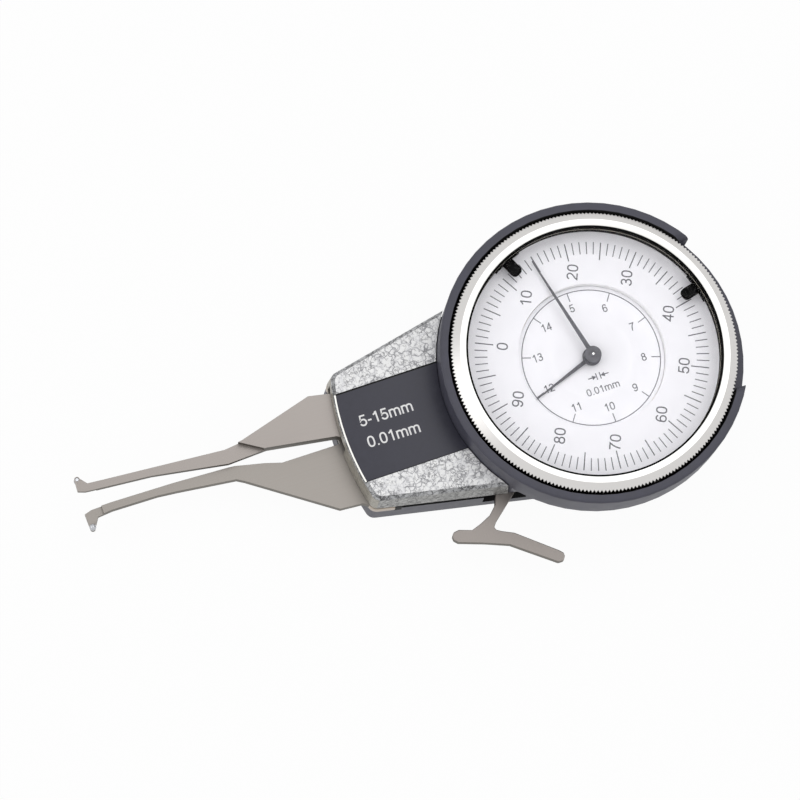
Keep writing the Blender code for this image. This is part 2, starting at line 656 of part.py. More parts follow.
def fixed_arm_outline():
    """Return the fixed arm: its strip, its plate and the bar that is screwed across the base's front."""
    contact = (CONTACT_X, CONTACT_RADIUS)
    foot = STEM_RADIUS + FIT_GAP + FOOT_WALL
    top = shaped(FIXED_TOP_SHARES, TIP_REACH, FIXED_HALF_WIDTH)
    low = shaped(FIXED_LOW_SHARES, TIP_REACH, FIXED_HALF_WIDTH)
    rear = WEDGE_FRONT_RADIUS - PAD_LENGTH
    radius = WEDGE_FRONT_RADIUS - BAR_INSET
    corner = math.atan2(WEDGE_HALF_WIDTH - WEDGE_CORNER, -WEDGE_GAUGE_X)
    start = math.pi - math.asin(top[0][1] / radius)
    bar = arc(radius, start, corner, 6)
    points = [(-rear, -wedge_half_width(rear, BAR_INSET)), (-rear, wedge_half_width(rear, BAR_INSET))]
    points.append((-WEDGE_GAUGE_X + WEDGE_CORNER, wedge_half_width(WEDGE_GAUGE_X - WEDGE_CORNER, BAR_INSET)))
    points += list(reversed(bar)) + top
    points += arc(foot, math.pi, 2 * math.pi, 6, contact)
    points += low
    points.append((-WEDGE_GAUGE_X + WEDGE_CORNER, -wedge_half_width(WEDGE_GAUGE_X - WEDGE_CORNER, BAR_INSET)))
    return points


def moving_arm_outline():
    """Return the moving arm: strip, plate, hub round the pivot and tail."""
    contact = (CONTACT_X, OPENING_AT_REST - CONTACT_RADIUS)
    foot = STEM_RADIUS + FIT_GAP + FOOT_WALL
    top = shaped(MOVING_TOP_SHARES, TIP_REACH, OPENING_AT_REST)
    low = shaped(MOVING_LOW_SHARES, TIP_REACH, OPENING_AT_REST)
    side = math.asin(TAIL_HALF_WIDTH / HUB_RADIUS)
    end = math.asin(TAIL_HALF_WIDTH / TAIL_REACH)
    hub_low = arc(HUB_RADIUS, -math.pi / 2, -side, 4, PIVOT)
    tail = arc(TAIL_REACH, -end, end, 6, PIVOT)
    hub_top = arc(HUB_RADIUS, side, math.pi / 2, 4, PIVOT)
    return hub_low + tail + hub_top + top + list(reversed(arc(foot, 0, math.pi, 6, contact)))[::-1] + low


def lever_outline():
    """Return the T-shaped finger lever from under the tail to its bar."""
    points = [(PIVOT.x + u * LEVER_REACH, -v * LEVER_DEPTH) for u, v in LEVER_SHARES]
    return points


def build_case():
    """Round case and wedge base, one casting."""
    outer = [(0, LEDGE_LEVEL + COLLAR_RISE), (COLLAR_RADIUS, LEDGE_LEVEL + COLLAR_RISE), (COLLAR_RADIUS, LEDGE_LEVEL)]
    outer += [(RIM_INNER, LEDGE_LEVEL), (RIM_INNER, RIM_TOP)]
    outer += [
        (RIM_RADIUS - RIM_ROUNDING + x, RIM_TOP - RIM_ROUNDING + y)
        for x, y in reversed(arc(RIM_ROUNDING, 0, math.pi / 2, 3))
    ]
    outer += [(RIM_RADIUS, FLANGE_BOTTOM), (DRUM_RADIUS, FLANGE_BOTTOM - FLARE_DROP)]
    outer += [(DRUM_RADIUS, CASE_LIFT + DRUM_CHAMFER), (DRUM_RADIUS - DRUM_CHAMFER, CASE_LIFT), (0, CASE_LIFT)]
    case = turned("case_body", outer, "cast_body", steps=FINEST)

    tray = loft("tray", [(wedge_outline(-BASE_FLARE), CASE_LIFT), (wedge_outline(0), BASE_WALL_TOP)])
    neck = cylinder("neck", RIM_RADIUS - NECK_GAP, PAD_TOP, NECK_TOP, None, steps=FINEST)
    shape = wedge_outline(NECK_GAP)
    boolean(neck, loft("neck_sides", [(shape, PAD_TOP - OVERRUN), (shape, NECK_TOP + OVERRUN)]), "INTERSECT")
    join(case, tray, neck)

    pad_rear = WEDGE_FRONT_RADIUS - PAD_LENGTH
    inner = wedge_outline(BASE_WALL, rear=WEDGE_REAR_X + BASE_WALL)
    basin = loft("basin", [(inner, SHELF_TOP), (inner, CAVITY_TOP)])
    cut(basin, box("basin_front", (-WEDGE_FRONT_RADIUS, -CAVITY_RADIUS, 0), (-pad_rear, CAVITY_RADIUS, COVER_TOP)))
    well = [(0, RIM_TOP), (CAVITY_RADIUS, RIM_TOP), (CAVITY_RADIUS, SHELF_TOP), (SHELF_HOLE, SHELF_TOP)]
    recess = BACK_COVER_RADIUS + SEAT_GAP
    well += [(SHELF_HOLE, SHELF_BOTTOM), (recess, SHELF_BOTTOM), (recess, -OVERRUN), (0, -OVERRUN)]
    well = turned("well", well, None, steps=FINEST)
    pad_top = box(
        "pad_top", (-WEDGE_FRONT_RADIUS - OVERRUN, -CAVITY_RADIUS, PAD_TOP), (-pad_rear, CAVITY_RADIUS, COVER_TOP),
    )
    cut(case, basin, well, pad_top)

    rib_face = rib_face_y()
    rib = box(
        "rib", (-SPRING_X - RIB_WIDTH / 2, rib_face, SHELF_BOTTOM),
        (-SPRING_X + RIB_WIDTH / 2, rib_face + RIB_THICK, spring_level() + RIB_RISE),
    )
    boss = cylinder("boss", PIVOT_BOSS_RADIUS, SHELF_BOTTOM, boss_top(), None, centre=PIVOT)
    join(case, rib, boss)
    for i, sign in enumerate((1, -1), 1):
        post = cylinder(
            f"base_boss_{i}", COVER_BOSS_RADIUS, SHELF_BOTTOM, COVER_BOTTOM - SEAT_GAP, None,
            centre=(-COVER_SCREW_X, sign * cover_screw_y()),
        )
        join(case, post)

    hole = FIT_GAP + POST_SHANK_RADIUS
    shank = cylinder(
        "post_hole", hole, -OVERRUN, POST_SHANK_LENGTH + SEAT_GAP, None, steps=COARSE,
        turn=(-math.pi / 2, 0, 0),
    )
    shank.location = (-SPRING_X, rib_face, spring_level())
    cut(case, shank)
    pin = cylinder("pin_hole", PIVOT_RADIUS + FIT_GAP, PIVOT_FOOT - SEAT_GAP, COVER_TOP, None, centre=PIVOT)
    cut(case, pin)
    for i, sign in enumerate((1, -1), 1):
        centre = (-COVER_SCREW_X, sign * cover_screw_y())
        cut(
            case,
            cylinder(f"case_screw_hole_{i}", COVER_SCREW_RADIUS + SEAT_GAP, 0, COVER_TOP, None, centre=centre,
                     steps=COARSE),
            cylinder(f"case_screw_head_{i}", COVER_HEAD_RADIUS + SEAT_GAP, -OVERRUN,
                     CASE_LIFT + HEAD_SINK + COVER_HEAD_THICK + SEAT_GAP, None, centre=centre, steps=COARSE),
            cylinder(f"pad_screw_{i}", ARM_SCREW_RADIUS + SEAT_GAP,
                     FIXED_ARM_TOP - HEAD_SINK - ARM_SCREW_LENGTH - SEAT_GAP, COVER_TOP, None,
                     centre=(-ARM_SCREW_X, sign * ARM_SCREW_Y), steps=COARSE),
            cylinder(f"pad_dowel_{i}", DOWEL_RADIUS + FIT_GAP,
                     FIXED_ARM_TOP - HEAD_SINK - DOWEL_LENGTH - SEAT_GAP, COVER_TOP, None,
                     centre=(-ARM_SCREW_X, sign * DOWEL_Y), steps=COARSE),
        )
    for i, angle in enumerate(BACK_SCREW_ANGLES, 1):
        cut(case, cylinder(
            f"shelf_hole_{i}", SMALL_SCREW_RADIUS + SEAT_GAP, 0, SHELF_TOP - SEAT_GAP, None,
            centre=polar(BACK_SCREW_CIRCLE, angle), steps=COARSE,
        ))

    wall_y = wedge_half_width(LEVER_SLOT_X, 0)
    low, high = swept_span(lever_outline(), 0, -wall_y - BASE_WALL, -wall_y + BASE_WALL + OVERRUN)
    cut(case, box(
        "lever_notch", (low - SLOT_SIDE_GAP, -RIM_RADIUS, NOTCH_FLOOR),
        (high + SLOT_SIDE_GAP, -wall_y + BASE_WALL + OVERRUN, COVER_BOTTOM + SEAT_GAP),
    ))
    cut(case, rim_notch())
    return case


def rim_notch():
    """Cutter for the low part of the rim at the right, with round upper corners."""
    floor = LEDGE_LEVEL - NOTCH_DROP
    half = RIM_RADIUS * math.sin(NOTCH_HALF_ANGLE)
    lift = RIM_TOP - NOTCH_ROUNDING
    outline = [(-half, floor), (half, floor)]
    outline += [(half + NOTCH_ROUNDING - x, lift + y) for x, y in arc(NOTCH_ROUNDING, 0, math.pi / 2, 5)]
    outline += [(half + NOTCH_ROUNDING, RIM_TOP + OVERRUN)]
    outline += [(-x, y) for x, y in reversed(outline[1:])][:-1]
    prism = plate("rim_notch", outline, 0, RIM_RADIUS + OVERRUN, None, turn=(math.pi / 2, 0, math.pi / 2))
    core = cylinder("notch_core", (RIM_INNER + BEZEL_RADIUS) / 2, 0, RIM_TOP + 2 * OVERRUN, None, steps=FINEST)
    cut(prism, core)
    return prism


def boss_top():
    """Return the level of the boss that the pivot washer lies on."""
    return MOVING_BOTTOM - SEAT_GAP - PIVOT_WASHER_THICK - SEAT_GAP


def cover_screw_y():
    """Return how far the cover screws lie from the gauge's axis."""
    return wedge_half_width(COVER_SCREW_X, COVER_SCREW_INSET)


def spring_level():
    """Return the level of the return spring's axis: the middle of the tail."""
    return (MOVING_BOTTOM + MOVING_STRIP_TOP) / 2


def spring_start_y():
    """Return where the return spring's first turn lies beside the tail."""
    return TAIL_HALF_WIDTH + RUN_GAP + SPRING_WIRE_RADIUS


def rib_face_y():
    """Return where the rib that holds the spring's post begins."""
    return spring_start_y() + SPRING_LENGTH + SPRING_WIRE_RADIUS + SEAT_GAP + POST_COLLAR_THICK + SEAT_GAP


def build_cover():
    """Wedge cover, its label, and the screws that hold it from behind."""
    layers = [
        (wedge_outline(0), COVER_BOTTOM), (wedge_outline(COVER_DRAFT), COVER_TOP - COVER_BEVEL),
        (wedge_outline(COVER_DRAFT + COVER_BEVEL), COVER_TOP),
    ]
    cover = loft("front_cover", layers, "hammer_silver")
    rear = WEDGE_REAR_X - OVERRUN
    inside = [
        (wedge_outline(COVER_WALL, rear), COVER_BOTTOM - OVERRUN),
        (wedge_outline(COVER_WALL + COVER_DRAFT, rear), ROOF_UNDERSIDE),
    ]
    cut(cover, loft("cover_inside", inside))
    pin_top = ROOF_UNDERSIDE + SEAT_GAP * 4
    join(cover, cylinder("cover_boss", PIVOT_BOSS_RADIUS, pin_top - PIVOT_TOP_GRIP, LABEL_FLOOR - SEAT_GAP * 2, None,
                         centre=PIVOT))
    cut(cover, cylinder("cover_pin_hole", PIVOT_RADIUS + FIT_GAP, 0, pin_top + SEAT_GAP, None, centre=PIVOT))
    for i, sign in enumerate((1, -1), 1):
        centre = (-COVER_SCREW_X, sign * cover_screw_y())
        join(cover, cylinder(f"cover_post_{i}", COVER_BOSS_RADIUS, COVER_BOTTOM, ROOF_UNDERSIDE + SEAT_GAP * 3, None,
                             centre=centre))
        tip = CASE_LIFT + HEAD_SINK + COVER_SCREW_LENGTH
        cut(cover, cylinder(f"cover_screw_hole_{i}", COVER_SCREW_RADIUS + SEAT_GAP, 0, tip + SEAT_GAP, None,
                            centre=centre, steps=COARSE))
        screw(f"cover_screw_{i}", centre, CASE_LIFT + HEAD_SINK, COVER_SCREW_LENGTH, COVER_SCREW_RADIUS,
              COVER_HEAD_RADIUS, COVER_HEAD_THICK, "spring_steel", down=False)
    cut(cover, cylinder("cover_rear", RIM_RADIUS + COVER_GAP, 0, COVER_TOP + OVERRUN, None, steps=FINEST))

    front = WEDGE_FRONT_RADIUS
    low, high = swept_span(moving_arm_outline(), 1, -front - COVER_WALL, -WEDGE_GAUGE_X + COVER_WALL)
    cut(cover, box(
        "cover_slot", (-front - OVERRUN, low - RUN_GAP, 0),
        (-WEDGE_GAUGE_X + COVER_WALL, min(high + RUN_GAP, wedge_half_width(WEDGE_GAUGE_X, COVER_WALL)),
         MOVING_PLATE_TOP + RUN_GAP),
    ))

    def label_outline(half, front_radius, rear_radius):
        points = arc(front_radius, math.pi - math.asin(half / front_radius),
                     math.pi + math.asin(half / front_radius), 14)
        return points + arc(rear_radius, math.pi + math.asin(half / rear_radius),
                            math.pi - math.asin(half / rear_radius), 14)

    recess = label_outline(LABEL_HALF_WIDTH + SEAT_GAP, LABEL_FRONT_RADIUS + SEAT_GAP, RIM_RADIUS - OVERRUN)
    cut(cover, plate("label_recess", recess, LABEL_FLOOR, COVER_TOP + OVERRUN, None))
    label = label_outline(LABEL_HALF_WIDTH, LABEL_FRONT_RADIUS, RIM_RADIUS + 2 * COVER_GAP)
    plate("label_plate", label, LABEL_TOP - LABEL_THICK, LABEL_TOP, "label_grey")


def build_back():
    """Back cover with its four screws."""
    cover = cylinder("back_cover", BACK_COVER_RADIUS, 0, BACK_COVER_THICK, "cast_body", steps=FINE)
    for i, angle in enumerate(BACK_SCREW_ANGLES, 1):
        centre = polar(BACK_SCREW_CIRCLE, angle)
        head = HEAD_SINK + SMALL_HEAD_THICK
        cut(
            cover,
            cylinder(f"back_hole_{i}", SMALL_SCREW_RADIUS + SEAT_GAP, -OVERRUN, BACK_COVER_THICK + OVERRUN, None,
                     centre=centre, steps=COARSE),
            cylinder(f"back_head_{i}", SMALL_HEAD_RADIUS + SEAT_GAP, -OVERRUN, head + SEAT_GAP, None,
                     centre=centre, steps=COARSE),
        )
        screw(f"back_cover_screw_{i}", centre, HEAD_SINK, SHELF_TOP - 2 * SEAT_GAP - HEAD_SINK,
              SMALL_SCREW_RADIUS, SMALL_HEAD_RADIUS, SMALL_HEAD_THICK, "spring_steel", down=False)


def build_fixed_arm():
    """Fixed arm with its contact, screws and dowels."""
    contact = (CONTACT_X, CONTACT_RADIUS)
    holes = [circle(STEM_RADIUS + FIT_GAP, 12, contact)]
    holes += [circle(ARM_SCREW_RADIUS + SEAT_GAP, COARSE, (-ARM_SCREW_X, s * ARM_SCREW_Y)) for s in (1, -1)]
    holes += [circle(DOWEL_RADIUS + FIT_GAP, COARSE, (-ARM_SCREW_X, s * DOWEL_Y)) for s in (1, -1)]
    arm = plate("fixed_arm", fixed_arm_outline(), FIXED_ARM_BOTTOM, FIXED_ARM_TOP, "satin_steel", holes=holes)
    foot_start = PIVOT.x - FOOT_START_SHARE * TIP_REACH
    cut(arm, box(
        "fixed_foot_step", (CONTACT_X - TAIL_REACH, -HUB_RADIUS, FIXED_ARM_BOTTOM + FOOT_THIN),
        (foot_start, HUB_RADIUS, FIXED_ARM_TOP + OVERRUN),
    ))
    contact_piece("fixed_contact", contact, FIXED_ARM_BOTTOM + SEAT_GAP, False, None)
    face = FIXED_ARM_TOP - HEAD_SINK
    for i, sign in enumerate((1, -1), 1):
        centre = (-ARM_SCREW_X, sign * ARM_SCREW_Y)
        cut(arm, cylinder(f"arm_head_{i}", ARM_HEAD_RADIUS + SEAT_GAP, face - ARM_HEAD_THICK - SEAT_GAP, COVER_TOP, None,
                          centre=centre, steps=COARSE))
        screw(f"fixed_arm_screw_{i}", centre, face, ARM_SCREW_LENGTH, ARM_SCREW_RADIUS, ARM_HEAD_RADIUS,
              ARM_HEAD_THICK, "spring_steel")
        cylinder(f"fixed_arm_dowel_{i}", DOWEL_RADIUS, face - DOWEL_LENGTH, face, "hard_metal",
                 centre=(-ARM_SCREW_X, sign * DOWEL_Y), steps=COARSE)


def contact_piece(name, centre, stem_end, flip, axis):
    """Make a ball contact with its stem, which reaches to a level."""
    length = abs(CONTACT_LEVEL - stem_end)
    lower = math.pi / 2 - math.asin(STEM_RADIUS / CONTACT_RADIUS)
    ball = arc(CONTACT_RADIUS, math.pi / 2, -lower, 9)
    profile = [(max(0, x), y) for x, y in ball] + [(STEM_RADIUS, -length), (0, -length)]
    profile[0] = (0, CONTACT_RADIUS)
    turn = (math.pi, 0, 0) if flip else (0, 0, 0)
    turned(name, profile, "hard_metal", steps=COARSE, at=(*centre, CONTACT_LEVEL), turn=turn, axis=axis)


def build_moving_arm(axis):
    """Moving arm with its contact, bush, lever, rivets and sector, all carried by one empty on the pivot."""
    contact = (CONTACT_X, OPENING_AT_REST - CONTACT_RADIUS)
    bush_radius = PIVOT_RADIUS + FIT_GAP + BUSH_WALL
    rivets = [(PIVOT.x + LEVER_REACH - RIVET_SETBACK - i * RIVET_SPACING, 0) for i in (1, 0)]
    sector_screws = [(PIVOT.x + SECTOR_SCREW_REACH, s * SECTOR_SCREW_Y) for s in (1, -1)]
    holes = [circle(STEM_RADIUS + FIT_GAP, 12, contact), circle(bush_radius + FIT_GAP, MEDIUM, PIVOT)]
    holes += [circle(RIVET_RADIUS + SEAT_GAP, COARSE, centre) for centre in rivets]
    holes += [circle(SMALL_SCREW_RADIUS + SEAT_GAP, COARSE, centre) for centre in sector_screws]

    def local(points):
        return [(x - PIVOT.x, y - PIVOT.y) for x, y in points]

    arm = plate("moving_arm", local(moving_arm_outline()), MOVING_BOTTOM, MOVING_PLATE_TOP, "satin_steel",
                holes=[local(h) for h in holes], at=PIVOT, axis=axis)
    step = local(shaped(MOVING_STEP_SHARES, TIP_REACH, OPENING_AT_REST))
    far = -TIP_REACH - HUB_RADIUS
    strip_side = [step[0], (far, -OPENING_AT_REST), (far, 2 * OPENING_AT_REST), step[1]]
    cut(
        arm,
        plate("strip_step", strip_side[::-1], MOVING_STRIP_TOP, COVER_TOP, None, at=PIVOT, axis=axis),
        box("tail_step", (HUB_RADIUS, -2 * HUB_RADIUS, MOVING_STRIP_TOP), (2 * TAIL_REACH, 2 * HUB_RADIUS, COVER_TOP),
            at=PIVOT, axis=axis),
        box("moving_foot_step", (far, 0, 0),
            (-FOOT_START_SHARE * TIP_REACH, 2 * OPENING_AT_REST, MOVING_STRIP_TOP - MOVING_FOOT_THIN),
            at=PIVOT, axis=axis),
    )
    contact_piece("moving_contact", contact, MOVING_STRIP_TOP - SEAT_GAP, True, axis)

    bore = PIVOT_RADIUS + FIT_GAP
    ring("pivot_bush", bore, bush_radius, MOVING_BOTTOM, MOVING_PLATE_TOP, "brass", MEDIUM, at=PIVOT, axis=axis)

    lever_holes = [local(circle(RIVET_RADIUS + SEAT_GAP, COARSE, centre)) for centre in rivets]
    plate("arm_lever", local(lever_outline()), LEVER_BOTTOM, LEVER_TOP, "satin_steel", holes=lever_holes, at=PIVOT,
          axis=axis)
    top = MOVING_STRIP_TOP + SEAT_GAP + RIVET_HEAD_THICK
    bottom = LEVER_BOTTOM - SEAT_GAP - RIVET_HEAD_THICK
    for i, centre in enumerate(rivets, 1):
        profile = [
            (0, top), (RIVET_HEAD_RADIUS, top), (RIVET_HEAD_RADIUS, top - RIVET_HEAD_THICK),
            (RIVET_RADIUS, top - RIVET_HEAD_THICK), (RIVET_RADIUS, bottom + RIVET_HEAD_THICK),
            (RIVET_HEAD_RADIUS, bottom + RIVET_HEAD_THICK), (RIVET_HEAD_RADIUS, bottom), (0, bottom),
        ]
        turned(f"lever_rivet_{i}", profile, "spring_steel", steps=COARSE, at=(*centre, 0), axis=axis)

    holes = [local(circle(SMALL_SCREW_RADIUS + SEAT_GAP, COARSE, centre)) for centre in sector_screws]
    plate("sector_gear", sector_outline(), SECTOR_BOTTOM, SECTOR_TOP, "brass", holes=[window_outline(), *holes],
          at=PIVOT, axis=axis)
    for i, centre in enumerate(sector_screws, 1):
        screw(f"sector_screw_{i}", centre, SECTOR_TOP + SEAT_GAP + SMALL_HEAD_THICK, SECTOR_SCREW_LENGTH,
              SMALL_SCREW_RADIUS, SMALL_HEAD_RADIUS, SMALL_HEAD_THICK, "spring_steel", axis=axis)


def window_angles():
    """Return the ends of the sector's window, seen from the pivot."""
    return -CLOSING_ANGLE - WINDOW_SPARE_ANGLE, OPENING_ANGLE + WINDOW_SPARE_ANGLE


def sector_outline():
    """Return the outer outline of the sector."""
    low, high = window_angles()
    outer = SECTOR_PITCH_RADIUS + SECTOR_RING
    points = arc(SECTOR_INNER, high + SECTOR_ARM_ANGLE, low - SECTOR_ARM_ANGLE, 8)
    return points + arc(outer, low - SECTOR_ARM_ANGLE, high + SECTOR_ARM_ANGLE, 10)


def window_outline():
    """Return the window in the sector, with its teeth pointing to the pivot. A tooth lies on the gauge's axis."""
    low, high = window_angles()
    pitch = 2 * math.pi / SECTOR_TEETH
    tip = SECTOR_PITCH_RADIUS - MODULE * ADDENDUM_SHARE
    root = SECTOR_PITCH_RADIUS + MODULE * DEDENDUM_SHARE
    slope = math.tan(PRESSURE_ANGLE)
    points = []
    first, last = math.ceil(low / pitch), math.floor(high / pitch)
    for k in range(first, last + 1):
        for radius, sign in ((root, -1), (tip, -1), (tip, 1), (root, 1)):
            reach = radius - SECTOR_PITCH_RADIUS
            half = (math.pi * MODULE / 4 - BACKLASH / 2 + reach * slope) / SECTOR_PITCH_RADIUS
            angle = k * pitch + sign * half
            points.append((radius * math.cos(angle), radius * math.sin(angle)))
    inner = arc(TAIL_REACH + WINDOW_STEP, high, low, 8)
    return points + inner


def ring(name, bore, radius, bottom, top, look, steps=FINE, **where):
    """Make a plain ring between two levels."""
    profile = [(bore, top), (radius, top), (radius, bottom), (bore, bottom)]
    return turned(name, profile, look, steps=steps, **where)


def arbor(name, look, centre, axis, top, gears, pivot_top=True):
    """Make an arbor with its pinions fused on. Each gear is (outline, bottom, top)."""
    low = BASE_PLATE_TOP + SEAT_GAP
    profile = [(ARBOR_RADIUS, low), (PIVOT_END_RADIUS, low)]
    profile += [(PIVOT_END_RADIUS, low - PIVOT_END_LENGTH), (0, low - PIVOT_END_LENGTH)]
    if pivot_top:
        end = top + SEAT_GAP + TOP_PLATE_THICK - SEAT_GAP
        profile = [(0, end), (PIVOT_END_RADIUS, end), (PIVOT_END_RADIUS, top), (ARBOR_RADIUS, top)] + profile
    else:
        profile = [(0, top), (ARBOR_RADIUS, top)] + profile
    piece = turned(name, profile, look, steps=12, at=(centre[0], centre[1], 0), axis=axis)
    for i, (outline, bottom, upper) in enumerate(gears, 1):
        join(piece, plate(f"{name}_pinion_{i}", outline, bottom, upper, None, at=centre, axis=axis))
    return piece


def wheel(name, teeth, module, phase, bottom, centre, axis):
    """Make a toothed wheel with a bore that fits an arbor."""
    outline = gear_outline(teeth, module, phase, 1)
    plate(name, outline, bottom, bottom + WHEEL_THICK, "brass", holes=[circle(ARBOR_RADIUS + FIT_GAP, 12)], at=centre,
          axis=axis)


def build_train():
    """Gear train from the sector to both hands, with the take-up wheel."""
    first_axis = joint_axis("first_axis", A1)
    second_axis = joint_axis("second_axis", A2)
    centre_axis = joint_axis("centre_axis", Vector())
    hour_axis = joint_axis("hour_axis", Vector())
    take_up_axis = joint_axis("take_up_axis", A3)
    shoulder = TOP_PLATE_BOTTOM - SEAT_GAP

    first_pitch = 2 * math.pi / FIRST_PINION_TEETH
    first_pinion = gear_outline(FIRST_PINION_TEETH, MODULE, first_pitch / 2, 1)
    arbor("first_arbor", "spring_steel", A1, first_axis, shoulder,
          [(first_pinion, SECTOR_BOTTOM - RUN_GAP, SECTOR_TOP + RUN_GAP)])
    wheel("first_wheel", FIRST_WHEEL_TEETH, MODULE, 0, FIRST_WHEEL_BOTTOM, A1, first_axis)

    bearing = math.atan2(A2.y - A1.y, A2.x - A1.x)
    second_phase = mating_phase(0, FIRST_WHEEL_TEETH, MODULE, bearing, SECOND_PINION_TEETH)
    second_pinion = gear_outline(SECOND_PINION_TEETH, MODULE, second_phase, 1)
    hour_pinion = gear_outline(HOUR_PINION_TEETH, HOUR_MODULE, 0, 1)
    first_top = FIRST_WHEEL_BOTTOM + WHEEL_THICK
    hour_top = HOUR_WHEEL_BOTTOM + WHEEL_THICK
    arbor("second_arbor", "spring_steel", A2, second_axis, shoulder, [
        (second_pinion, FIRST_WHEEL_BOTTOM - PINION_MARGIN, first_top + PINION_MARGIN),
        (hour_pinion, HOUR_WHEEL_BOTTOM - PINION_MARGIN, hour_top + PINION_MARGIN),
    ])
    wheel("second_wheel", SECOND_WHEEL_TEETH, MODULE, 0, SECOND_WHEEL_BOTTOM, A2, second_axis)

    inward = math.atan2(-A2.y, -A2.x)
    centre_phase = mating_phase(0, SECOND_WHEEL_TEETH, MODULE, inward, CENTRE_PINION_TEETH)
    centre_pinion = gear_outline(CENTRE_PINION_TEETH, MODULE, centre_phase, 1)
    second_top = SECOND_WHEEL_BOTTOM + WHEEL_THICK
    arbor("centre_arbor", "spring_steel", (0, 0), centre_axis, LONG_HAND_LEVEL + FIT_GAP, [
        (centre_pinion, SECOND_WHEEL_BOTTOM - PINION_MARGIN, second_top + PINION_MARGIN),
    ], pivot_top=False)

    hour_phase = mating_phase(0, HOUR_PINION_TEETH, HOUR_MODULE, inward, HOUR_WHEEL_TEETH)
    outline = gear_outline(HOUR_WHEEL_TEETH, HOUR_MODULE, hour_phase, 1)
    hour = plate("hour_wheel", outline, HOUR_WHEEL_BOTTOM, hour_top, "brass", holes=[circle(HOUR_PIPE_BORE)],
                 axis=hour_axis)
    pipe = ring("hour_pipe", HOUR_PIPE_BORE - FIT_GAP, HOUR_PIPE_RADIUS, HOUR_WHEEL_BOTTOM - SEAT_GAP,
                SHORT_HAND_LEVEL + SHORT_HUB_THICK - SEAT_GAP, None, COARSE, axis=hour_axis)
    join(hour, pipe)

    take_up_phase = mating_phase(centre_phase, CENTRE_PINION_TEETH, MODULE, TAKE_UP_ANGLE, TAKE_UP_TEETH)
    arbor("take_up_wheel", "brass", A3, take_up_axis, shoulder, [
        (gear_outline(TAKE_UP_TEETH, MODULE, take_up_phase, 1), SECOND_WHEEL_BOTTOM, second_top),
    ])
    build_hair_spring(second_top + HAIR_RISE)
    build_hands(centre_axis, hour_axis)


def build_hair_spring(bottom):
    """Flat spiral spring round the take-up arbor, and the stud that holds its outer end."""
    steps = HAIR_TURNS * 18
    inner, outer = [], []
    for i in range(steps + 1):
        angle = TAKE_UP_ANGLE + 2 * math.pi * HAIR_TURNS * i / steps
        radius = HAIR_INNER_RADIUS + (HAIR_OUTER_RADIUS - HAIR_INNER_RADIUS) * i / steps
        outer.append(tuple((radius + HAIR_THICK) * f for f in (math.cos(angle), math.sin(angle))))
        inner.append(tuple(radius * f for f in (math.cos(angle), math.sin(angle))))
    plate("hair_spring", outer + inner[::-1], bottom, bottom + HAIR_WIDTH, "spring_steel", at=A3)
    foot = BASE_PLATE_TOP - BASE_PLATE_THICK + 2 * SEAT_GAP
    cylinder("hair_spring_stud", STUD_RADIUS, foot, bottom + HAIR_WIDTH, "brass", centre=stud_centre(), steps=COARSE)


def stud_centre():
    """Return where the hair spring's stud stands."""
    return A3 + polar(HAIR_OUTER_RADIUS + HAIR_THICK + SEAT_GAP + STUD_RADIUS, TAKE_UP_ANGLE)


def build_hands(centre_axis, hour_axis):
    """Long and short hand."""
    hub_bottom = LONG_HAND_LEVEL - RUN_GAP
    long_hand = cylinder("long_hand", LONG_HUB_RADIUS, hub_bottom, hub_bottom + LONG_HUB_THICK, "hand_grey",
                         axis=centre_axis)
    pointer = hand_outline(LONG_HAND_LENGTH, LONG_HAND_WIDTH, LONG_HAND_ANGLE, 0)
    join(long_hand, plate("long_pointer", pointer, LONG_HAND_LEVEL, LONG_HAND_LEVEL + HAND_THICK, None,
                          axis=centre_axis))
    cut(long_hand, cylinder("long_hub_bore", ARBOR_RADIUS + FIT_GAP, 0, LONG_HAND_LEVEL + 2 * SEAT_GAP, None,
                            steps=12, axis=centre_axis))
    short_hand = cylinder("short_hand", SHORT_HUB_RADIUS, SHORT_HAND_LEVEL, SHORT_HAND_LEVEL + SHORT_HUB_THICK,
                          "hand_grey", axis=hour_axis)
    pointer = hand_outline(SHORT_HAND_LENGTH, SHORT_HAND_WIDTH, SHORT_HAND_ANGLE, 0)
    join(short_hand, plate("short_pointer", pointer, SHORT_HAND_LEVEL + FIT_GAP,
                           SHORT_HAND_LEVEL + FIT_GAP + HAND_THICK, None, axis=hour_axis))
    cut(short_hand, cylinder("short_hub_bore", HOUR_PIPE_RADIUS + FIT_GAP, 0, COVER_TOP * 2, None, steps=COARSE,
                             axis=hour_axis))


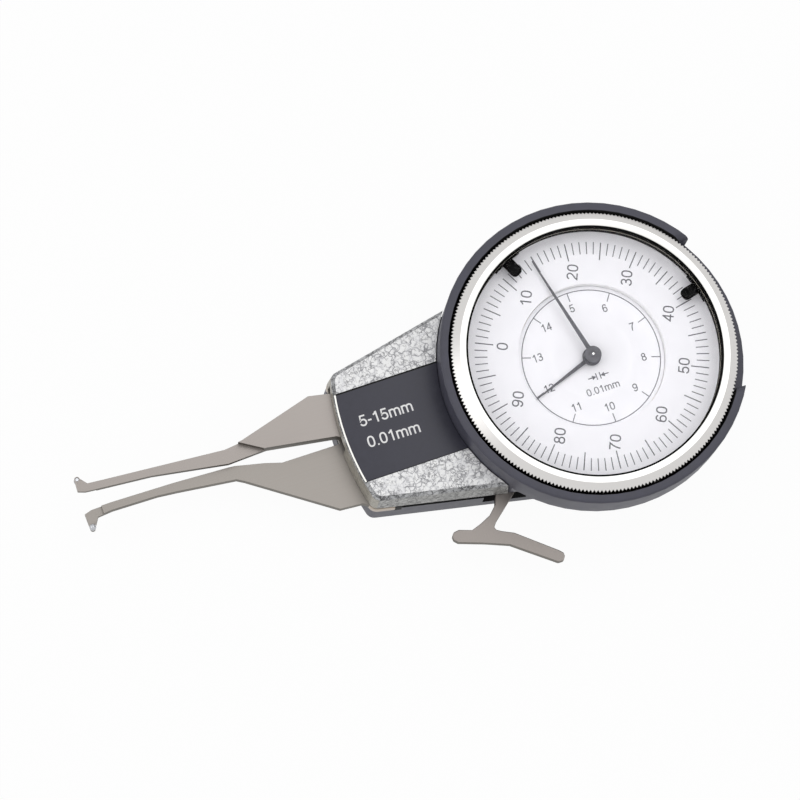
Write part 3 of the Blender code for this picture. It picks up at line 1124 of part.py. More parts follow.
def build_movement():
    """Plates and pillars that carry the gear train, with the inner dial on top."""
    pillars = [polar(PILLAR_CIRCLE, angle) for angle in PILLAR_ANGLES]
    bore = PIVOT_END_RADIUS + FIT_GAP
    low_holes = [circle(bore, 12, c) for c in (A1, A2, (0, 0), A3)]
    low_holes += [circle(PILLAR_SPIGOT_RADIUS + FIT_GAP, COARSE, c) for c in pillars]
    low_holes.append(circle(STUD_RADIUS + FIT_GAP, COARSE, stud_centre()))
    plate("movement_base_plate", circle(PLATE_RADIUS, FINE), BASE_PLATE_BOTTOM, BASE_PLATE_TOP, "brass",
          holes=low_holes)
    top_holes = [circle(bore, 12, c) for c in (A1, A2, A3)]
    top_holes.append(circle(HOUR_PIPE_RADIUS + SEAT_GAP, COARSE))
    top_holes += [circle(SMALL_SCREW_RADIUS + SEAT_GAP, COARSE, c) for c in pillars]
    plate("movement_top_plate", circle(PLATE_RADIUS, FINE), TOP_PLATE_BOTTOM, TOP_PLATE_TOP, "brass", holes=top_holes)
    low = BASE_PLATE_TOP + SEAT_GAP
    high = TOP_PLATE_BOTTOM - SEAT_GAP
    for i, centre in enumerate(pillars, 1):
        profile = [(0, high), (PILLAR_RADIUS, high), (PILLAR_RADIUS, low), (PILLAR_SPIGOT_RADIUS, low)]
        profile += [(PILLAR_SPIGOT_RADIUS, low - PILLAR_SPIGOT_LENGTH), (0, low - PILLAR_SPIGOT_LENGTH)]
        pillar = turned(f"movement_pillar_{i}", profile, "satin_steel", steps=COARSE, at=(centre.x, centre.y, 0))
        face = TOP_PLATE_TOP + SEAT_GAP + SMALL_HEAD_THICK
        length = SMALL_HEAD_THICK + SEAT_GAP + TOP_PLATE_THICK + PILLAR_SCREW_LENGTH
        cut(pillar, cylinder(f"pillar_bore_{i}", SMALL_SCREW_RADIUS + SEAT_GAP, face - length - SEAT_GAP, COVER_TOP,
                             None, centre=centre, steps=COARSE))
        screw(f"pillar_screw_{i}", centre, face, length, SMALL_SCREW_RADIUS, SMALL_HEAD_RADIUS, SMALL_HEAD_THICK,
              "spring_steel")
    ring("inner_dial", HOUR_PIPE_RADIUS + 2 * SEAT_GAP, INNER_DIAL_RADIUS, DIAL_LEVEL - DIAL_THICK, DIAL_LEVEL,
         "dial_white")


def build_pivot():
    """Pivot pin and the washer under the moving arm."""
    cylinder("pivot_pin", PIVOT_RADIUS, PIVOT_FOOT, ROOF_UNDERSIDE + RUN_GAP, "hard_metal", centre=PIVOT)
    ring("pivot_washer", PIVOT_RADIUS + FIT_GAP, HUB_RADIUS - OVERRUN, boss_top() + SEAT_GAP,
         boss_top() + SEAT_GAP + PIVOT_WASHER_THICK, "brass", MEDIUM, at=PIVOT)


def build_return_spring():
    """Coil that pushes the tail and so opens the arms, with the post that holds its far end."""
    turns = SPRING_TURNS
    steps = turns * 8
    start = spring_start_y()
    points = []
    for i in range(steps + 1):
        angle = 2 * math.pi * turns * i / steps
        points.append((
            SPRING_MEAN_RADIUS * math.cos(angle), start + SPRING_LENGTH * i / steps,
            SPRING_MEAN_RADIUS * math.sin(angle),
        ))
    mesh = curve_mesh("return_spring", [points], False, dimensions="3D", bevel_depth=SPRING_WIRE_RADIUS,
                      bevel_resolution=1, use_fill_caps=True)
    place("return_spring", mesh, "spring_steel", at=(-SPRING_X, 0, spring_level()))
    collar = POST_COLLAR_THICK
    profile = [
        (0, POST_SHANK_LENGTH), (POST_SHANK_RADIUS, POST_SHANK_LENGTH), (POST_SHANK_RADIUS, -SEAT_GAP),
        (POST_COLLAR_RADIUS, -SEAT_GAP), (POST_COLLAR_RADIUS, -SEAT_GAP - collar),
        (POST_NUB_RADIUS, -SEAT_GAP - collar), (POST_NUB_RADIUS, -collar - POST_NUB_LENGTH),
        (0, -collar - POST_NUB_LENGTH),
    ]
    turned("spring_post", profile, "spring_steel", steps=COARSE, at=(-SPRING_X, rib_face_y(), spring_level()),
           turn=(-math.pi / 2, 0, 0))


def build_bezel(axis):
    """Bezel with the turning dial ring, the window and its seal, and the friction ring under it."""
    profile = [
        (BEZEL_BORE_RADIUS, BEZEL_LIP_LEVEL), (BEZEL_CREST_RADIUS, BEZEL_CREST_LEVEL),
        (BEZEL_RADIUS - BEZEL_EDGE_BREAK, BEZEL_EDGE_LEVEL + BEZEL_EDGE_BREAK), (BEZEL_RADIUS, BEZEL_EDGE_LEVEL),
        (BEZEL_RADIUS, BEZEL_BOTTOM), (BEZEL_SKIRT_INNER, BEZEL_BOTTOM),
        (BEZEL_SKIRT_INNER, DIAL_RING_LEVEL + SEAT_GAP), (BEZEL_BORE_RADIUS, DIAL_RING_LEVEL + SEAT_GAP),
    ]
    turned("bezel", profile, "turned_silver", steps=FINEST, axis=axis)
    ring("outer_dial", INNER_DIAL_RADIUS + DIAL_RING_GAP, DIAL_RING_RADIUS, DIAL_RING_LEVEL - DIAL_THICK,
         DIAL_RING_LEVEL, "dial_white", axis=axis)
    outer = BEZEL_BORE_RADIUS - SEAT_GAP
    ring("crystal_gasket", outer - GASKET_WIDTH, outer, GASKET_LEVEL - GASKET_HEIGHT, GASKET_LEVEL, "seal_black",
         axis=axis)
    top = GASKET_LEVEL - CRYSTAL_DROP
    cylinder("crystal", outer - GASKET_WIDTH - SEAT_GAP, top - CRYSTAL_THICK, top, "glass_clear", steps=FINE, axis=axis)

    middle = (BEZEL_SKIRT_INNER + BEZEL_RADIUS) / 2
    gap = BEZEL_SPRING_GAP_ANGLE
    outline = arc(middle + BEZEL_SPRING_WIDTH / 2, gap, 2 * math.pi - gap, 48)
    outline += arc(middle - BEZEL_SPRING_WIDTH / 2, 2 * math.pi - gap, gap, 48)
    plate("bezel_spring", outline, LEDGE_LEVEL + SEAT_GAP, LEDGE_LEVEL + SEAT_GAP + BEZEL_SPRING_THICK, "spring_steel")


def build_marker(name, angle, axis):
    """Limit marker: a round-ended tongue and the clip that slides along the bezel's bore."""
    wall = BEZEL_BORE_RADIUS - 2 * SEAT_GAP
    inner = wall - MARKER_CLIP_WALL
    tip = inner - MARKER_LENGTH + MARKER_WIDTH / 2
    tongue = arc(MARKER_WIDTH / 2, math.pi / 2, 3 * math.pi / 2, 8, (tip, 0))
    tongue += [(inner + MARKER_CLIP_WALL / 2, -MARKER_WIDTH / 2), (inner + MARKER_CLIP_WALL / 2, MARKER_WIDTH / 2)]
    clip = arc(wall, -MARKER_CLIP_ANGLE, MARKER_CLIP_ANGLE, 8) + arc(inner, MARKER_CLIP_ANGLE, -MARKER_CLIP_ANGLE, 8)
    top = MARKER_BOTTOM + MARKER_THICK
    marker = plate(name, rotated(clip, angle, (0, 0)), MARKER_BOTTOM - MARKER_CLIP_DROP, top + SEAT_GAP, "seal_black",
                   axis=axis)
    join(marker, plate(f"{name}_tongue", rotated(tongue, angle, (0, 0)), MARKER_BOTTOM, top, None, axis=axis))


def main():
    for obj in list(bpy.data.objects):
        bpy.data.objects.remove(obj, do_unlink=True)
    build_case()
    build_cover()
    build_back()
    build_fixed_arm()
    build_pivot()
    build_moving_arm(joint_axis("arm_axis", PIVOT))
    build_return_spring()
    build_movement()
    build_train()
    bezel_axis = joint_axis("bezel_axis", Vector())
    build_bezel(bezel_axis)
    for name, angle in MARKER_ANGLES.items():
        build_marker(name, angle, joint_axis(f"{name}_axis", Vector()))


if __name__ == "__main__":
    main()
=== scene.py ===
"""Internal caliper gauge with a dial: the dressed model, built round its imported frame."""
import logging
import math
import operator
from collections.abc import Callable, Iterable
from dataclasses import dataclass
from enum import Enum
from functools import reduce

import bmesh
import bpy
import numpy as np
from mathutils import Euler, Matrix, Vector


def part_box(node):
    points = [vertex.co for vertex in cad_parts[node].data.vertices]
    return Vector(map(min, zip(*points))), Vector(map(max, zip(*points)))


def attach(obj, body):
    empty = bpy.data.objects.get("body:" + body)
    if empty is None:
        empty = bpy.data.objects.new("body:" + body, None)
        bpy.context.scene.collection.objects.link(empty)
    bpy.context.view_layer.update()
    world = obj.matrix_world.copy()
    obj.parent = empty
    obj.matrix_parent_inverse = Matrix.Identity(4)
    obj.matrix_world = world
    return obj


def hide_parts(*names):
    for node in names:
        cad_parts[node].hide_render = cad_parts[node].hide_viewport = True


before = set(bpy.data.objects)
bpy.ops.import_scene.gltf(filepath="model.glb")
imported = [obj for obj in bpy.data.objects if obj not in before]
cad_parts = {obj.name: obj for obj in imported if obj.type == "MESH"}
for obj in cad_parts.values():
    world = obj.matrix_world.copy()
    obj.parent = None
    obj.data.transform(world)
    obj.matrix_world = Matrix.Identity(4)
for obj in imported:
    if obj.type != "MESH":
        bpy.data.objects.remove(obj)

LOG = logging.getLogger("gauge")
MM = 0.001
FULL_TURN = 2 * math.pi
# Points of a mesh that lie closer than this, in metres, are one point
WELD = 1e-7
TINY = 1e-12

# Most of a noise lies between these two levels
NOISE_LOW, NOISE_HIGH = 0.3, 0.7

Node = bpy.types.Node
Socket = bpy.types.NodeSocket
Tree = bpy.types.NodeTree
# Picks a finish for each face, from the faces' middles in millimetres and their normals
Zones = Callable[[np.ndarray, np.ndarray], np.ndarray]


# Colours and nodes


def linear(code: str) -> tuple[float, float, float, float]:
    """Turn an sRGB hex colour into the linear one that shaders work in.

    A channel c becomes c / 12.92 up to 0.04045, and ((c + 0.055) / 1.055)^2.4 above it.

    Args:
        code: six hex digits after a hash sign.

    Returns:
        Red, green, blue and an alpha of 1.
    """
    parts = [int(code[i:i + 2], 16) / 255 for i in (1, 3, 5)]
    red, green, blue = (c / 12.92 if c <= 0.04045 else ((c + 0.055) / 1.055) ** 2.4 for c in parts)
    return red, green, blue, 1.0


def add_node(tree: Tree, kind: str, traits: dict | None = None, values: dict | None = None,
             links: dict | None = None, stops: tuple[tuple[float, str], ...] = ()) -> Node:
    """Add a node to a tree, with its settings, socket values and incoming links.

    Args:
        tree: the node tree.
        kind: the node's type name after "ShaderNode".
        traits: the node's own settings by name.
        values: values of its input sockets, by name or number.
        links: the output sockets that feed its inputs, by the input's name or number.
        stops: the two stops of a colour ramp, each a place from 0 to 1 and a hex colour.

    Returns:
        The new node.
    """
    node = tree.nodes.new("ShaderNode" + kind)
    for name, value in (traits or {}).items():
        setattr(node, name, value)
    for name, value in (values or {}).items():
        node.inputs[name].default_value = value
    for name, source in (links or {}).items():
        tree.links.new(source, node.inputs[name])
    for number, (place, code) in enumerate(stops):
        element = node.color_ramp.elements[number]
        element.position = place
        element.color = linear(code)
    return node


class Lay(Enum):
    """Which way the fine lines of a metal's finish run."""

    ALONG_X = "along the arms"
    ALONG_Y = "along the lever"
    ROUND = "round the dial's axis"


@dataclass(frozen=True)
class Finish:
    """A plain even finish: its colour, sheen, and a fine grain that breaks up the gloss."""

    name: str
    colour: str
    roughness: float = 0.5
    metallic: float = 0.0
    ior: float = 1.5
    grain_mm: float = 0.6
    grain_height_mm: float = 0.004
    # How many grains wide the soft clouds of the mottle are, and how far colour and sheen follow them
    cloud_grains: float = 6.0
    mottle: float = 0.05
    sheen_range: float = 0.08

    def made(self) -> bpy.types.Material:
        """Build the material, or find the one that was built before.

        Returns:
            The material.
        """
        found = bpy.data.materials.get(self.name)
        if found:
            return found
        look = bpy.data.materials.new(self.name)
        look.use_nodes = True
        tree = look.node_tree
        tree.nodes.clear()
        shader = add_node(tree, "BsdfPrincipled", values={
            "Base Color": linear(self.colour), "Roughness": self.roughness, "Metallic": self.metallic,
        })
        if not self.metallic:
            shader.inputs["IOR"].default_value = self.ior
        place = add_node(tree, "TexCoord").outputs["Object"]
        self.dress(tree, shader, place)
        add_node(tree, "OutputMaterial", links={"Surface": self.surface(tree, shader)})
        return look

    def surface(self, tree: Tree, shader: Node) -> Socket:
        """Return the socket that goes to the output."""
        return shader.outputs[0]

    def shades(self) -> tuple[str, str]:
        """Make the finish's colour a little darker and a little paler, by the mottle.

        Returns:
            The darker and the paler colour in hex.
        """
        parts = [int(self.colour[i:i + 2], 16) for i in (1, 3, 5)]
        low, high = ([min(255, round(p * (1 + s * self.mottle))) for p in parts] for s in (-1, 1))
        return "#%02x%02x%02x" % tuple(low), "#%02x%02x%02x" % tuple(high)

    def sheen(self, tree: Tree, shader: Node, pattern: Socket) -> None:
        """Let a noise change the roughness a little, to both sides of its value.

        Args:
            tree: the material's tree.
            shader: its main shader.
            pattern: the noise.
        """
        gloss = add_node(tree, "MapRange", values={
            "From Min": NOISE_LOW, "From Max": NOISE_HIGH,
            "To Min": self.roughness * (1 - self.sheen_range),
            "To Max": self.roughness * (1 + self.sheen_range),
        }, links={"Value": pattern})
        tree.links.new(gloss.outputs[0], shader.inputs["Roughness"])

    def dress(self, tree: Tree, shader: Node, place: Socket) -> None:
        """Add a soft mottle to the colour and roughness, and a fine grain to the surface.

        Args:
            tree: the material's tree.
            shader: its main shader.
            place: the object coordinates.
        """
        cloud = add_node(tree, "TexNoise", links={"Vector": place}, values={
            "Scale": 1 / (self.cloud_grains * self.grain_mm * MM), "Detail": 3.0,
        }).outputs["Fac"]
        if self.mottle:
            low, high = self.shades()
            tone = add_node(tree, "ValToRGB", links={0: cloud}, stops=((NOISE_LOW, low), (NOISE_HIGH, high)))
            tree.links.new(tone.outputs[0], shader.inputs["Base Color"])
        self.sheen(tree, shader, cloud)
        grain = add_node(tree, "TexNoise", values={"Scale": 1 / (self.grain_mm * MM), "Detail": 2.0},
                         links={"Vector": place})
        bump = add_node(tree, "Bump", values={"Strength": 1.0, "Distance": self.grain_height_mm * MM},
                        links={"Height": grain.outputs["Fac"]})
        tree.links.new(bump.outputs[0], shader.inputs["Normal"])


@dataclass(frozen=True)
class HammerEnamel(Finish):
    """Hammertone enamel, sprayed: pale silver blobs with thin dark creases between, broken in places."""

    # Width of the blobs in millimetres, the level above which their creases stay, and how dark those are
    layers: tuple[tuple[float, float, float], ...] = ((1.8, 0.47, 0.8), (1.05, 0.52, 0.75), (0.55, 0.57, 0.5))
    crease: str = "#626268"
    crease_mm: float = 0.12
    # Painted shade: grey towards the borders of the blobs, where the domes curve away from the light
    border_shade: str = "#e4e4e8"
    dome_height_mm: float = 0.05
    # Shares of a blob's width: the bends of its border, how far they reach, and the breaks in the creases
    bend_width: float = 0.9
    bend_reach: float = 1.1
    break_width: float = 1.3
    break_softness: float = 0.07
    # Width of the clouds in the colour, as a share of the widest blob
    cloud_width: float = 2.2

    def layer(self, tree: Tree, place: Socket, size: float, cut: float, weight: float
              ) -> tuple[Socket, Socket]:
        """Draw one size of bent cells, and keep a part of their borders as creases.

        Args:
            tree: the material's tree.
            place: the object coordinates.
            size: the width of a cell in millimetres.
            cut: the level of a noise above which a crease stays.
            weight: how dark the creases are.

        Returns:
            The darkness of the creases, and the distance from the cells' borders.
        """
        warp = add_node(tree, "TexNoise", values={"Scale": 1 / (self.bend_width * size * MM), "Detail": 1.0},
                        links={"Vector": place})
        centred = add_node(tree, "VectorMath", traits={"operation": "SUBTRACT"}, values={1: (0.5, 0.5, 0.5)},
                           links={0: warp.outputs["Color"]})
        pushed = add_node(tree, "VectorMath", traits={"operation": "SCALE"},
                          values={"Scale": size * MM * self.bend_reach}, links={0: centred.outputs[0]})
        bent = add_node(tree, "VectorMath", traits={"operation": "ADD"},
                        links={0: place, 1: pushed.outputs[0]}).outputs[0]
        border = add_node(tree, "TexVoronoi", traits={"feature": "DISTANCE_TO_EDGE"},
                          values={"Scale": 1 / (size * MM), "Randomness": 1.0},
                          links={"Vector": bent}).outputs["Distance"]
        line = add_node(tree, "MapRange", traits={"interpolation_type": "SMOOTHSTEP"}, values={
            "From Min": 0.0, "From Max": self.crease_mm / size, "To Min": weight, "To Max": 0.0,
        }, links={"Value": border})
        breaks = add_node(tree, "TexNoise", links={"Vector": bent}, values={
            "Scale": 1 / (self.break_width * size * MM), "Detail": 1.0,
        })
        kept = add_node(tree, "MapRange", values={
            "From Min": cut - self.break_softness, "From Max": cut + self.break_softness,
            "To Min": 0.0, "To Max": 1.0,
        }, links={"Value": breaks.outputs["Fac"]})
        crease = add_node(tree, "Math", traits={"operation": "MULTIPLY"},
                          links={0: line.outputs[0], 1: kept.outputs[0]})
        return crease.outputs[0], border

    def dress(self, tree: Tree, shader: Node, place: Socket) -> None:
        """Lay the sizes of creases over each other, and dome the surface between the widest ones.

        Args:
            tree: the material's tree.
            shader: its main shader.
            place: the object coordinates.
        """
        (dark, domes), *finer = [self.layer(tree, place, *layer) for layer in self.layers]
        for crease, _ in finer:
            darker = add_node(tree, "Math", traits={"operation": "MAXIMUM"}, links={0: dark, 1: crease})
            dark = darker.outputs[0]
        cloud = add_node(tree, "TexNoise", links={"Vector": place}, values={
            "Scale": 1 / (self.cloud_width * self.layers[0][0] * MM), "Detail": 3.0,
        })
        low, high = self.shades()
        tone = add_node(tree, "ValToRGB", links={0: cloud.outputs["Fac"]}, stops=((0.35, high), (0.7, low)))
        # Painted shade: the colour turns grey towards the borders of the blobs
        thin = add_node(tree, "MapRange", traits={"interpolation_type": "SMOOTHSTEP"}, values={
            "From Min": 0.0, "From Max": 0.2, "To Min": 0.6, "To Max": 0.0,
        }, links={"Value": domes})
        border_shaded = add_node(tree, "Mix", traits={"data_type": "RGBA"}, values={7: linear(self.border_shade)},
                           links={0: thin.outputs[0], 6: tone.outputs[0]})
        colour = add_node(tree, "Mix", traits={"data_type": "RGBA"}, values={7: linear(self.crease)},
                          links={0: dark, 6: border_shaded.outputs[2]})
        tree.links.new(colour.outputs[2], shader.inputs["Base Color"])
        sunk = add_node(tree, "Math", traits={"operation": "SUBTRACT"}, links={0: domes, 1: dark})
        bump = add_node(tree, "Bump", values={"Strength": 1.0, "Distance": self.dome_height_mm * MM},
                        links={"Height": sunk.outputs[0]})
        tree.links.new(bump.outputs[0], shader.inputs["Normal"])


@dataclass(frozen=True)
class BrushedMetal(Finish):
    """Metal with fine parallel lines from a belt or a lathe tool, which stretch its highlights."""

    metallic: float = 1.0
    sheen_range: float = 0.06
    lay: Lay = Lay.ALONG_X
    # Real lines are a few hundredths wide: these are as coarse as they need to be to show
    line_mm: float = 0.35
    run_mm: float = 14.0
    line_height_mm: float = 0.0003
    # Width of the patches that are worn darker
    wear_mm: float = 9.0

    def lines(self, tree: Tree, place: Socket) -> Socket:
        """Draw a noise that is long one way and fine the other.

        Args:
            tree: the material's tree.
            place: the object coordinates.

        Returns:
            The noise.
        """
        fine, long = 1 / (self.line_mm * MM), 1 / (self.run_mm * MM)
        if self.lay is Lay.ROUND:
            split = add_node(tree, "SeparateXYZ", links={0: place})
            flat = add_node(tree, "CombineXYZ", links={0: split.outputs[0], 1: split.outputs[1]})
            reach = add_node(tree, "VectorMath", traits={"operation": "LENGTH"}, links={0: flat.outputs[0]})
            noise = add_node(tree, "TexNoise", traits={"noise_dimensions": "1D"},
                             values={"Scale": fine, "Detail": 2.0}, links={"W": reach.outputs["Value"]})
            return noise.outputs["Fac"]
        scale = (long, fine, fine) if self.lay is Lay.ALONG_X else (fine, long, fine)
        mapped = add_node(tree, "Mapping", values={"Scale": scale}, links={"Vector": place})
        noise = add_node(tree, "TexNoise", values={"Scale": 1.0, "Detail": 2.0},
                         links={"Vector": mapped.outputs[0]})
        return noise.outputs["Fac"]

    def dress(self, tree: Tree, shader: Node, place: Socket) -> None:
        """Let the lines tint the metal, change its gloss and scratch its surface.

        Args:
            tree: the material's tree.
            shader: its main shader.
            place: the object coordinates.
        """
        streak = self.lines(tree, place)
        if self.mottle:
            low, high = self.shades()
            tone = add_node(tree, "ValToRGB", links={0: streak}, stops=((NOISE_LOW, low), (NOISE_HIGH, high)))
            cloud = add_node(tree, "TexNoise", values={"Scale": 1 / (self.wear_mm * MM), "Detail": 2.0},
                             links={"Vector": place})
            part = add_node(tree, "MapRange", values={
                "From Min": 0.4, "From Max": 0.75, "To Min": 0.0, "To Max": 0.5,
            }, links={"Value": cloud.outputs["Fac"]})
            worn = add_node(tree, "Mix", traits={"data_type": "RGBA"}, values={7: linear(low)},
                            links={0: part.outputs[0], 6: tone.outputs[0]})
            tree.links.new(worn.outputs[2], shader.inputs["Base Color"])
        self.sheen(tree, shader, streak)
        bump = add_node(tree, "Bump", values={"Strength": 1.0, "Distance": self.line_height_mm * MM},
                        links={"Height": streak})
        tree.links.new(bump.outputs[0], shader.inputs["Normal"])


def seen_rays(tree: Tree) -> Socket:
    """Tell the rays that the camera, a mirror or clear glass looks along from all others.

    Args:
        tree: the tree of a material or the world.

    Returns:
        A socket that is 1 for those rays and 0 for the others.
    """
    path = add_node(tree, "LightPath").outputs
    adding = {"operation": "ADD", "use_clamp": True}
    seen = add_node(tree, "Math", traits=adding, links={0: path["Is Camera Ray"], 1: path["Is Glossy Ray"]})
    shown = add_node(tree, "Math", traits=adding, links={0: seen.outputs[0], 1: path["Is Transmission Ray"]})
    return shown.outputs[0]


@dataclass(frozen=True)
class WhitePaper(Finish):
    """Roll of white background paper, lit until it is all but white, so that only a faint shadow stays."""

    whiteness: float = 0.95

    def surface(self, tree: Tree, shader: Node) -> Socket:
        """Mix in plain white for the rays that see the paper, and for no others.

        Args:
            tree: the material's tree.
            shader: its main shader.

        Returns:
            The socket that goes to the output.
        """
        white = add_node(tree, "Emission", values={"Color": (1, 1, 1, 1), "Strength": 1.0})
        part = add_node(tree, "Math", traits={"operation": "MULTIPLY"}, values={1: self.whiteness},
                        links={0: seen_rays(tree)})
        mix = add_node(tree, "MixShader", links={
            0: part.outputs[0], 1: shader.outputs[0], 2: white.outputs[0],
        })
        return mix.outputs[0]


@dataclass(frozen=True)
class ClearAcrylic(Finish):
    """Cast acrylic window, coated and polished: clear, with hardly a mirror on its face."""

    mirror: float = 0.08

    def dress(self, tree: Tree, shader: Node, place: Socket) -> None:
        """Make the shader clear glass with a weak mirror, as its coating leaves it."""
        shader.inputs["Transmission Weight"].default_value = 1.0
        shader.inputs["Specular IOR Level"].default_value = self.mirror

    def surface(self, tree: Tree, shader: Node) -> Socket:
        """Let the lamps shine through to the dial below.

        Args:
            tree: the material's tree.
            shader: its main shader.

        Returns:
            The socket that goes to the output.
        """
        shadow = add_node(tree, "LightPath").outputs["Is Shadow Ray"]
        open_way = add_node(tree, "BsdfTransparent")
        mix = add_node(tree, "MixShader", links={0: shadow, 1: shader.outputs[0], 2: open_way.outputs[0]})
        return mix.outputs[0]


# Zinc casting with a matt stove enamel: dark grey with a breath of violet
CASE_ENAMEL = Finish("stove_enamel_dark", "#43434f", roughness=0.48, grain_mm=0.35, grain_height_mm=0.006,
                     mottle=0.06)
# Painted shade on its rounded edges: a darker line that draws the case's shape, where the rounding turns away
# from the light
CASE_EDGE_SHADE = Finish("painted_edge_shade", "#26262d", grain_mm=0.35)
# Painted shade: matt black on the casting's seam, inside and gaps, and on the cover's hidden faces, where
# shade falls
SHADE_BLACK = Finish("painted_shade_black", "#0b0b0c", roughness=0.85, grain_mm=0.35, grain_height_mm=0.006)
# Hammertone enamel on a die casting: bright domed blobs between fine dark creases
COVER_ENAMEL = HammerEnamel("hammertone_enamel", "#ffffff", roughness=0.36, metallic=0.1, mottle=0.02)
# Smaller blobs with more and darker creases, for the cover's slopes and sides, where the darker creases add
# to the painted shade
SHADED_LAYERS = ((1.5, 0.44, 1.0), (0.85, 0.5, 0.9), (0.5, 0.57, 0.6))
# Painted shade: the hammertone on the cover's slopes, greyer and flatter than the top, because the slopes
# face away from the overhead light
COVER_SLOPE_SHADED = HammerEnamel("hammertone_slopes_painted_shade", "#b9babc", roughness=0.36, metallic=0.15,
                           layers=SHADED_LAYERS, crease="#3c3c3e", border_shade="#9c9c9e", dome_height_mm=0.03)
# Painted shade: the same hammertone on the cover's upright sides, a little darker than the slopes, because
# they get less light still
COVER_SIDE_SHADED = HammerEnamel("hammertone_sides_painted_shade", "#aeaeac", roughness=0.4, metallic=0.15,
                          layers=SHADED_LAYERS, crease="#3a3a3a", border_shade="#8e8e8c", dome_height_mm=0.03)
# Front of the cover, rubbed down after spraying: warm grey metal with a trace of the creases
COVER_MILLED = HammerEnamel("milled_front_face", "#aaa69c", roughness=0.42, metallic=0.3, mottle=0.06,
                            layers=((1.0, 0.5, 0.6), (0.5, 0.55, 0.6)), crease="#6b675f", border_shade="#9d998f",
                            dome_height_mm=0.015)
# Anodised aluminium plate, printed: flat dark grey, finer than the case
LABEL_PLATE = Finish("anodised_plate", "#33333f", roughness=0.42, grain_mm=0.3, grain_height_mm=0.003)
# Shade in the gap beside the plate: a thin black line
LABEL_GROOVE = Finish("groove_shade", "#0d0d0f", roughness=0.8)
# Its front edge, cut through the anodising: a thin bright line
LABEL_EDGE = Finish("milled_aluminium", "#f2f1ec", roughness=0.3, metallic=0.5, grain_height_mm=0.001,
                    mottle=0.01)
# Belt-ground carbon steel: a warm mid grey with faint lines along the arm
ARM_STEEL = BrushedMetal("ground_steel", "#99938f", roughness=0.40, mottle=0.012)
# The same on the fixed arm, a little darker as painted shade, because it lies lower than the moving arm
FIXED_STEEL = BrushedMetal("ground_steel_fixed", "#948f8a", roughness=0.40, mottle=0.012)
# The same on the lever, darker still, with lines along its bar
LEVER_STEEL = BrushedMetal("ground_steel_lever", "#8e8884", roughness=0.40, mottle=0.012, lay=Lay.ALONG_Y)
# Ground edge of the fixed arm's bar: paler than its flat, because it catches more light
BAR_STEEL = BrushedMetal("ground_steel_edge", "#ab9f92", roughness=0.35, mottle=0.012)
# Cut sides of the steel plates, never ground: duller, and darker as painted shade, because the upright sides
# get less light
SHEARED_STEEL_SHADED = BrushedMetal("sheared_steel_painted_shade", "#6b665f", mottle=0.08)
# Satin chrome on turned brass: nearly white on the crown, with a highlight drawn out by its rings
BEZEL_CROWN = BrushedMetal("satin_chrome_crown", "#efefec", roughness=0.3, mottle=0.0, lay=Lay.ROUND)
# The same on the outer slope, greyer as painted shade, so that the crown's edge shows
BEZEL_SLOPE_SHADED = BrushedMetal("satin_chrome_slope_painted_shade", "#d5d3d1", roughness=0.3, mottle=0.0, lay=Lay.ROUND)
# The same on the rolled knurl: bright teeth, a little uneven
BEZEL_KNURL = BrushedMetal("satin_chrome_knurl", "#d9d7d3", roughness=0.3, mottle=0.02, lay=Lay.ROUND)
# White lacquer on the dials: even, with a soft sheen
DIAL_ENAMEL = Finish("dial_enamel", "#f3f2f7", grain_height_mm=0.001, mottle=0.008)
# Painted light on the wall between the dials: whiter than the dial, so that it stays pale in the shade
SLEEVE_PAINTED_LIGHT = Finish("sleeve_painted_light", "#ffffff", grain_height_mm=0.001, mottle=0.0)
# Pad-printed ink on the dials: matt grey
DIAL_INK = Finish("printing_ink_grey", "#64646a", roughness=0.6, grain_height_mm=0.0005)
# The same ink in a thinner film: a little paler, on the inner dial's circle and marks
RING_INK = Finish("printing_ink_thin", "#707076", roughness=0.6, grain_height_mm=0.0005)
# Screen-printed ink on the plate: matt white
LETTER_INK = Finish("printing_ink_white", "#fafafa", roughness=0.55, grain_height_mm=0.0005, mottle=0.02)
# Grey lacquer on the stamped hands: soft, with next to no mirror
HAND_LACQUER = Finish("hand_lacquer", "#6b6b70", ior=1.2, grain_height_mm=0.0004)
# Nitrile rubber of the seal: dull black
GASKET_RUBBER = Finish("nitrile_rubber", "#060606", roughness=0.8, ior=1.2, grain_height_mm=0.001, mottle=0.2)
# Painted highlight: a thin warm line in the black seal, where the window's seat catches the light
GASKET_HIGHLIGHT = Finish("painted_seat_highlight", "#8a857a", roughness=0.6, grain_height_mm=0.0005)
# Moulded nylon of the markers: black and almost without gloss
MARKER_NYLON = Finish("moulded_nylon_black", "#070708", roughness=0.6, ior=1.12, grain_height_mm=0.001,
                      mottle=0.15)
# Cast acrylic over the dial: clear, its low index bends the marks below it next to nothing
WINDOW = ClearAcrylic("cast_acrylic", "#ffffff", roughness=0.0, ior=1.1)
# Lapped carbide of the contacts: a bright grey mirror
CARBIDE = BrushedMetal("polished_carbide", "#b9bbbf", roughness=0.12)
# Polished end of the centre arbor: a bright spot in the long hand
PIN_STEEL = BrushedMetal("polished_pin", "#fafafa", roughness=0.15)
# Rolled brass of plates and wheels: warm yellow with fine turned rings
BRASS = BrushedMetal("rolled_brass", "#c9a55a", roughness=0.3, lay=Lay.ROUND)
# Blued spring steel: a cold grey
SPRING_STEEL = BrushedMetal("blued_spring_steel", "#8d9096", roughness=0.3)
# Zinc-plated steel screws: pale grey, coarser than the pin
SCREW_STEEL = BrushedMetal("zinc_plated_screw", "#b4b6ba", roughness=0.28, line_height_mm=0.0006)
# Roll of background paper under the gauge: white, with a faint shadow
FLOOR_PAPER = WhitePaper("floor_paper", "#fbfbfb", roughness=0.95, grain_height_mm=0.0, mottle=0.0)

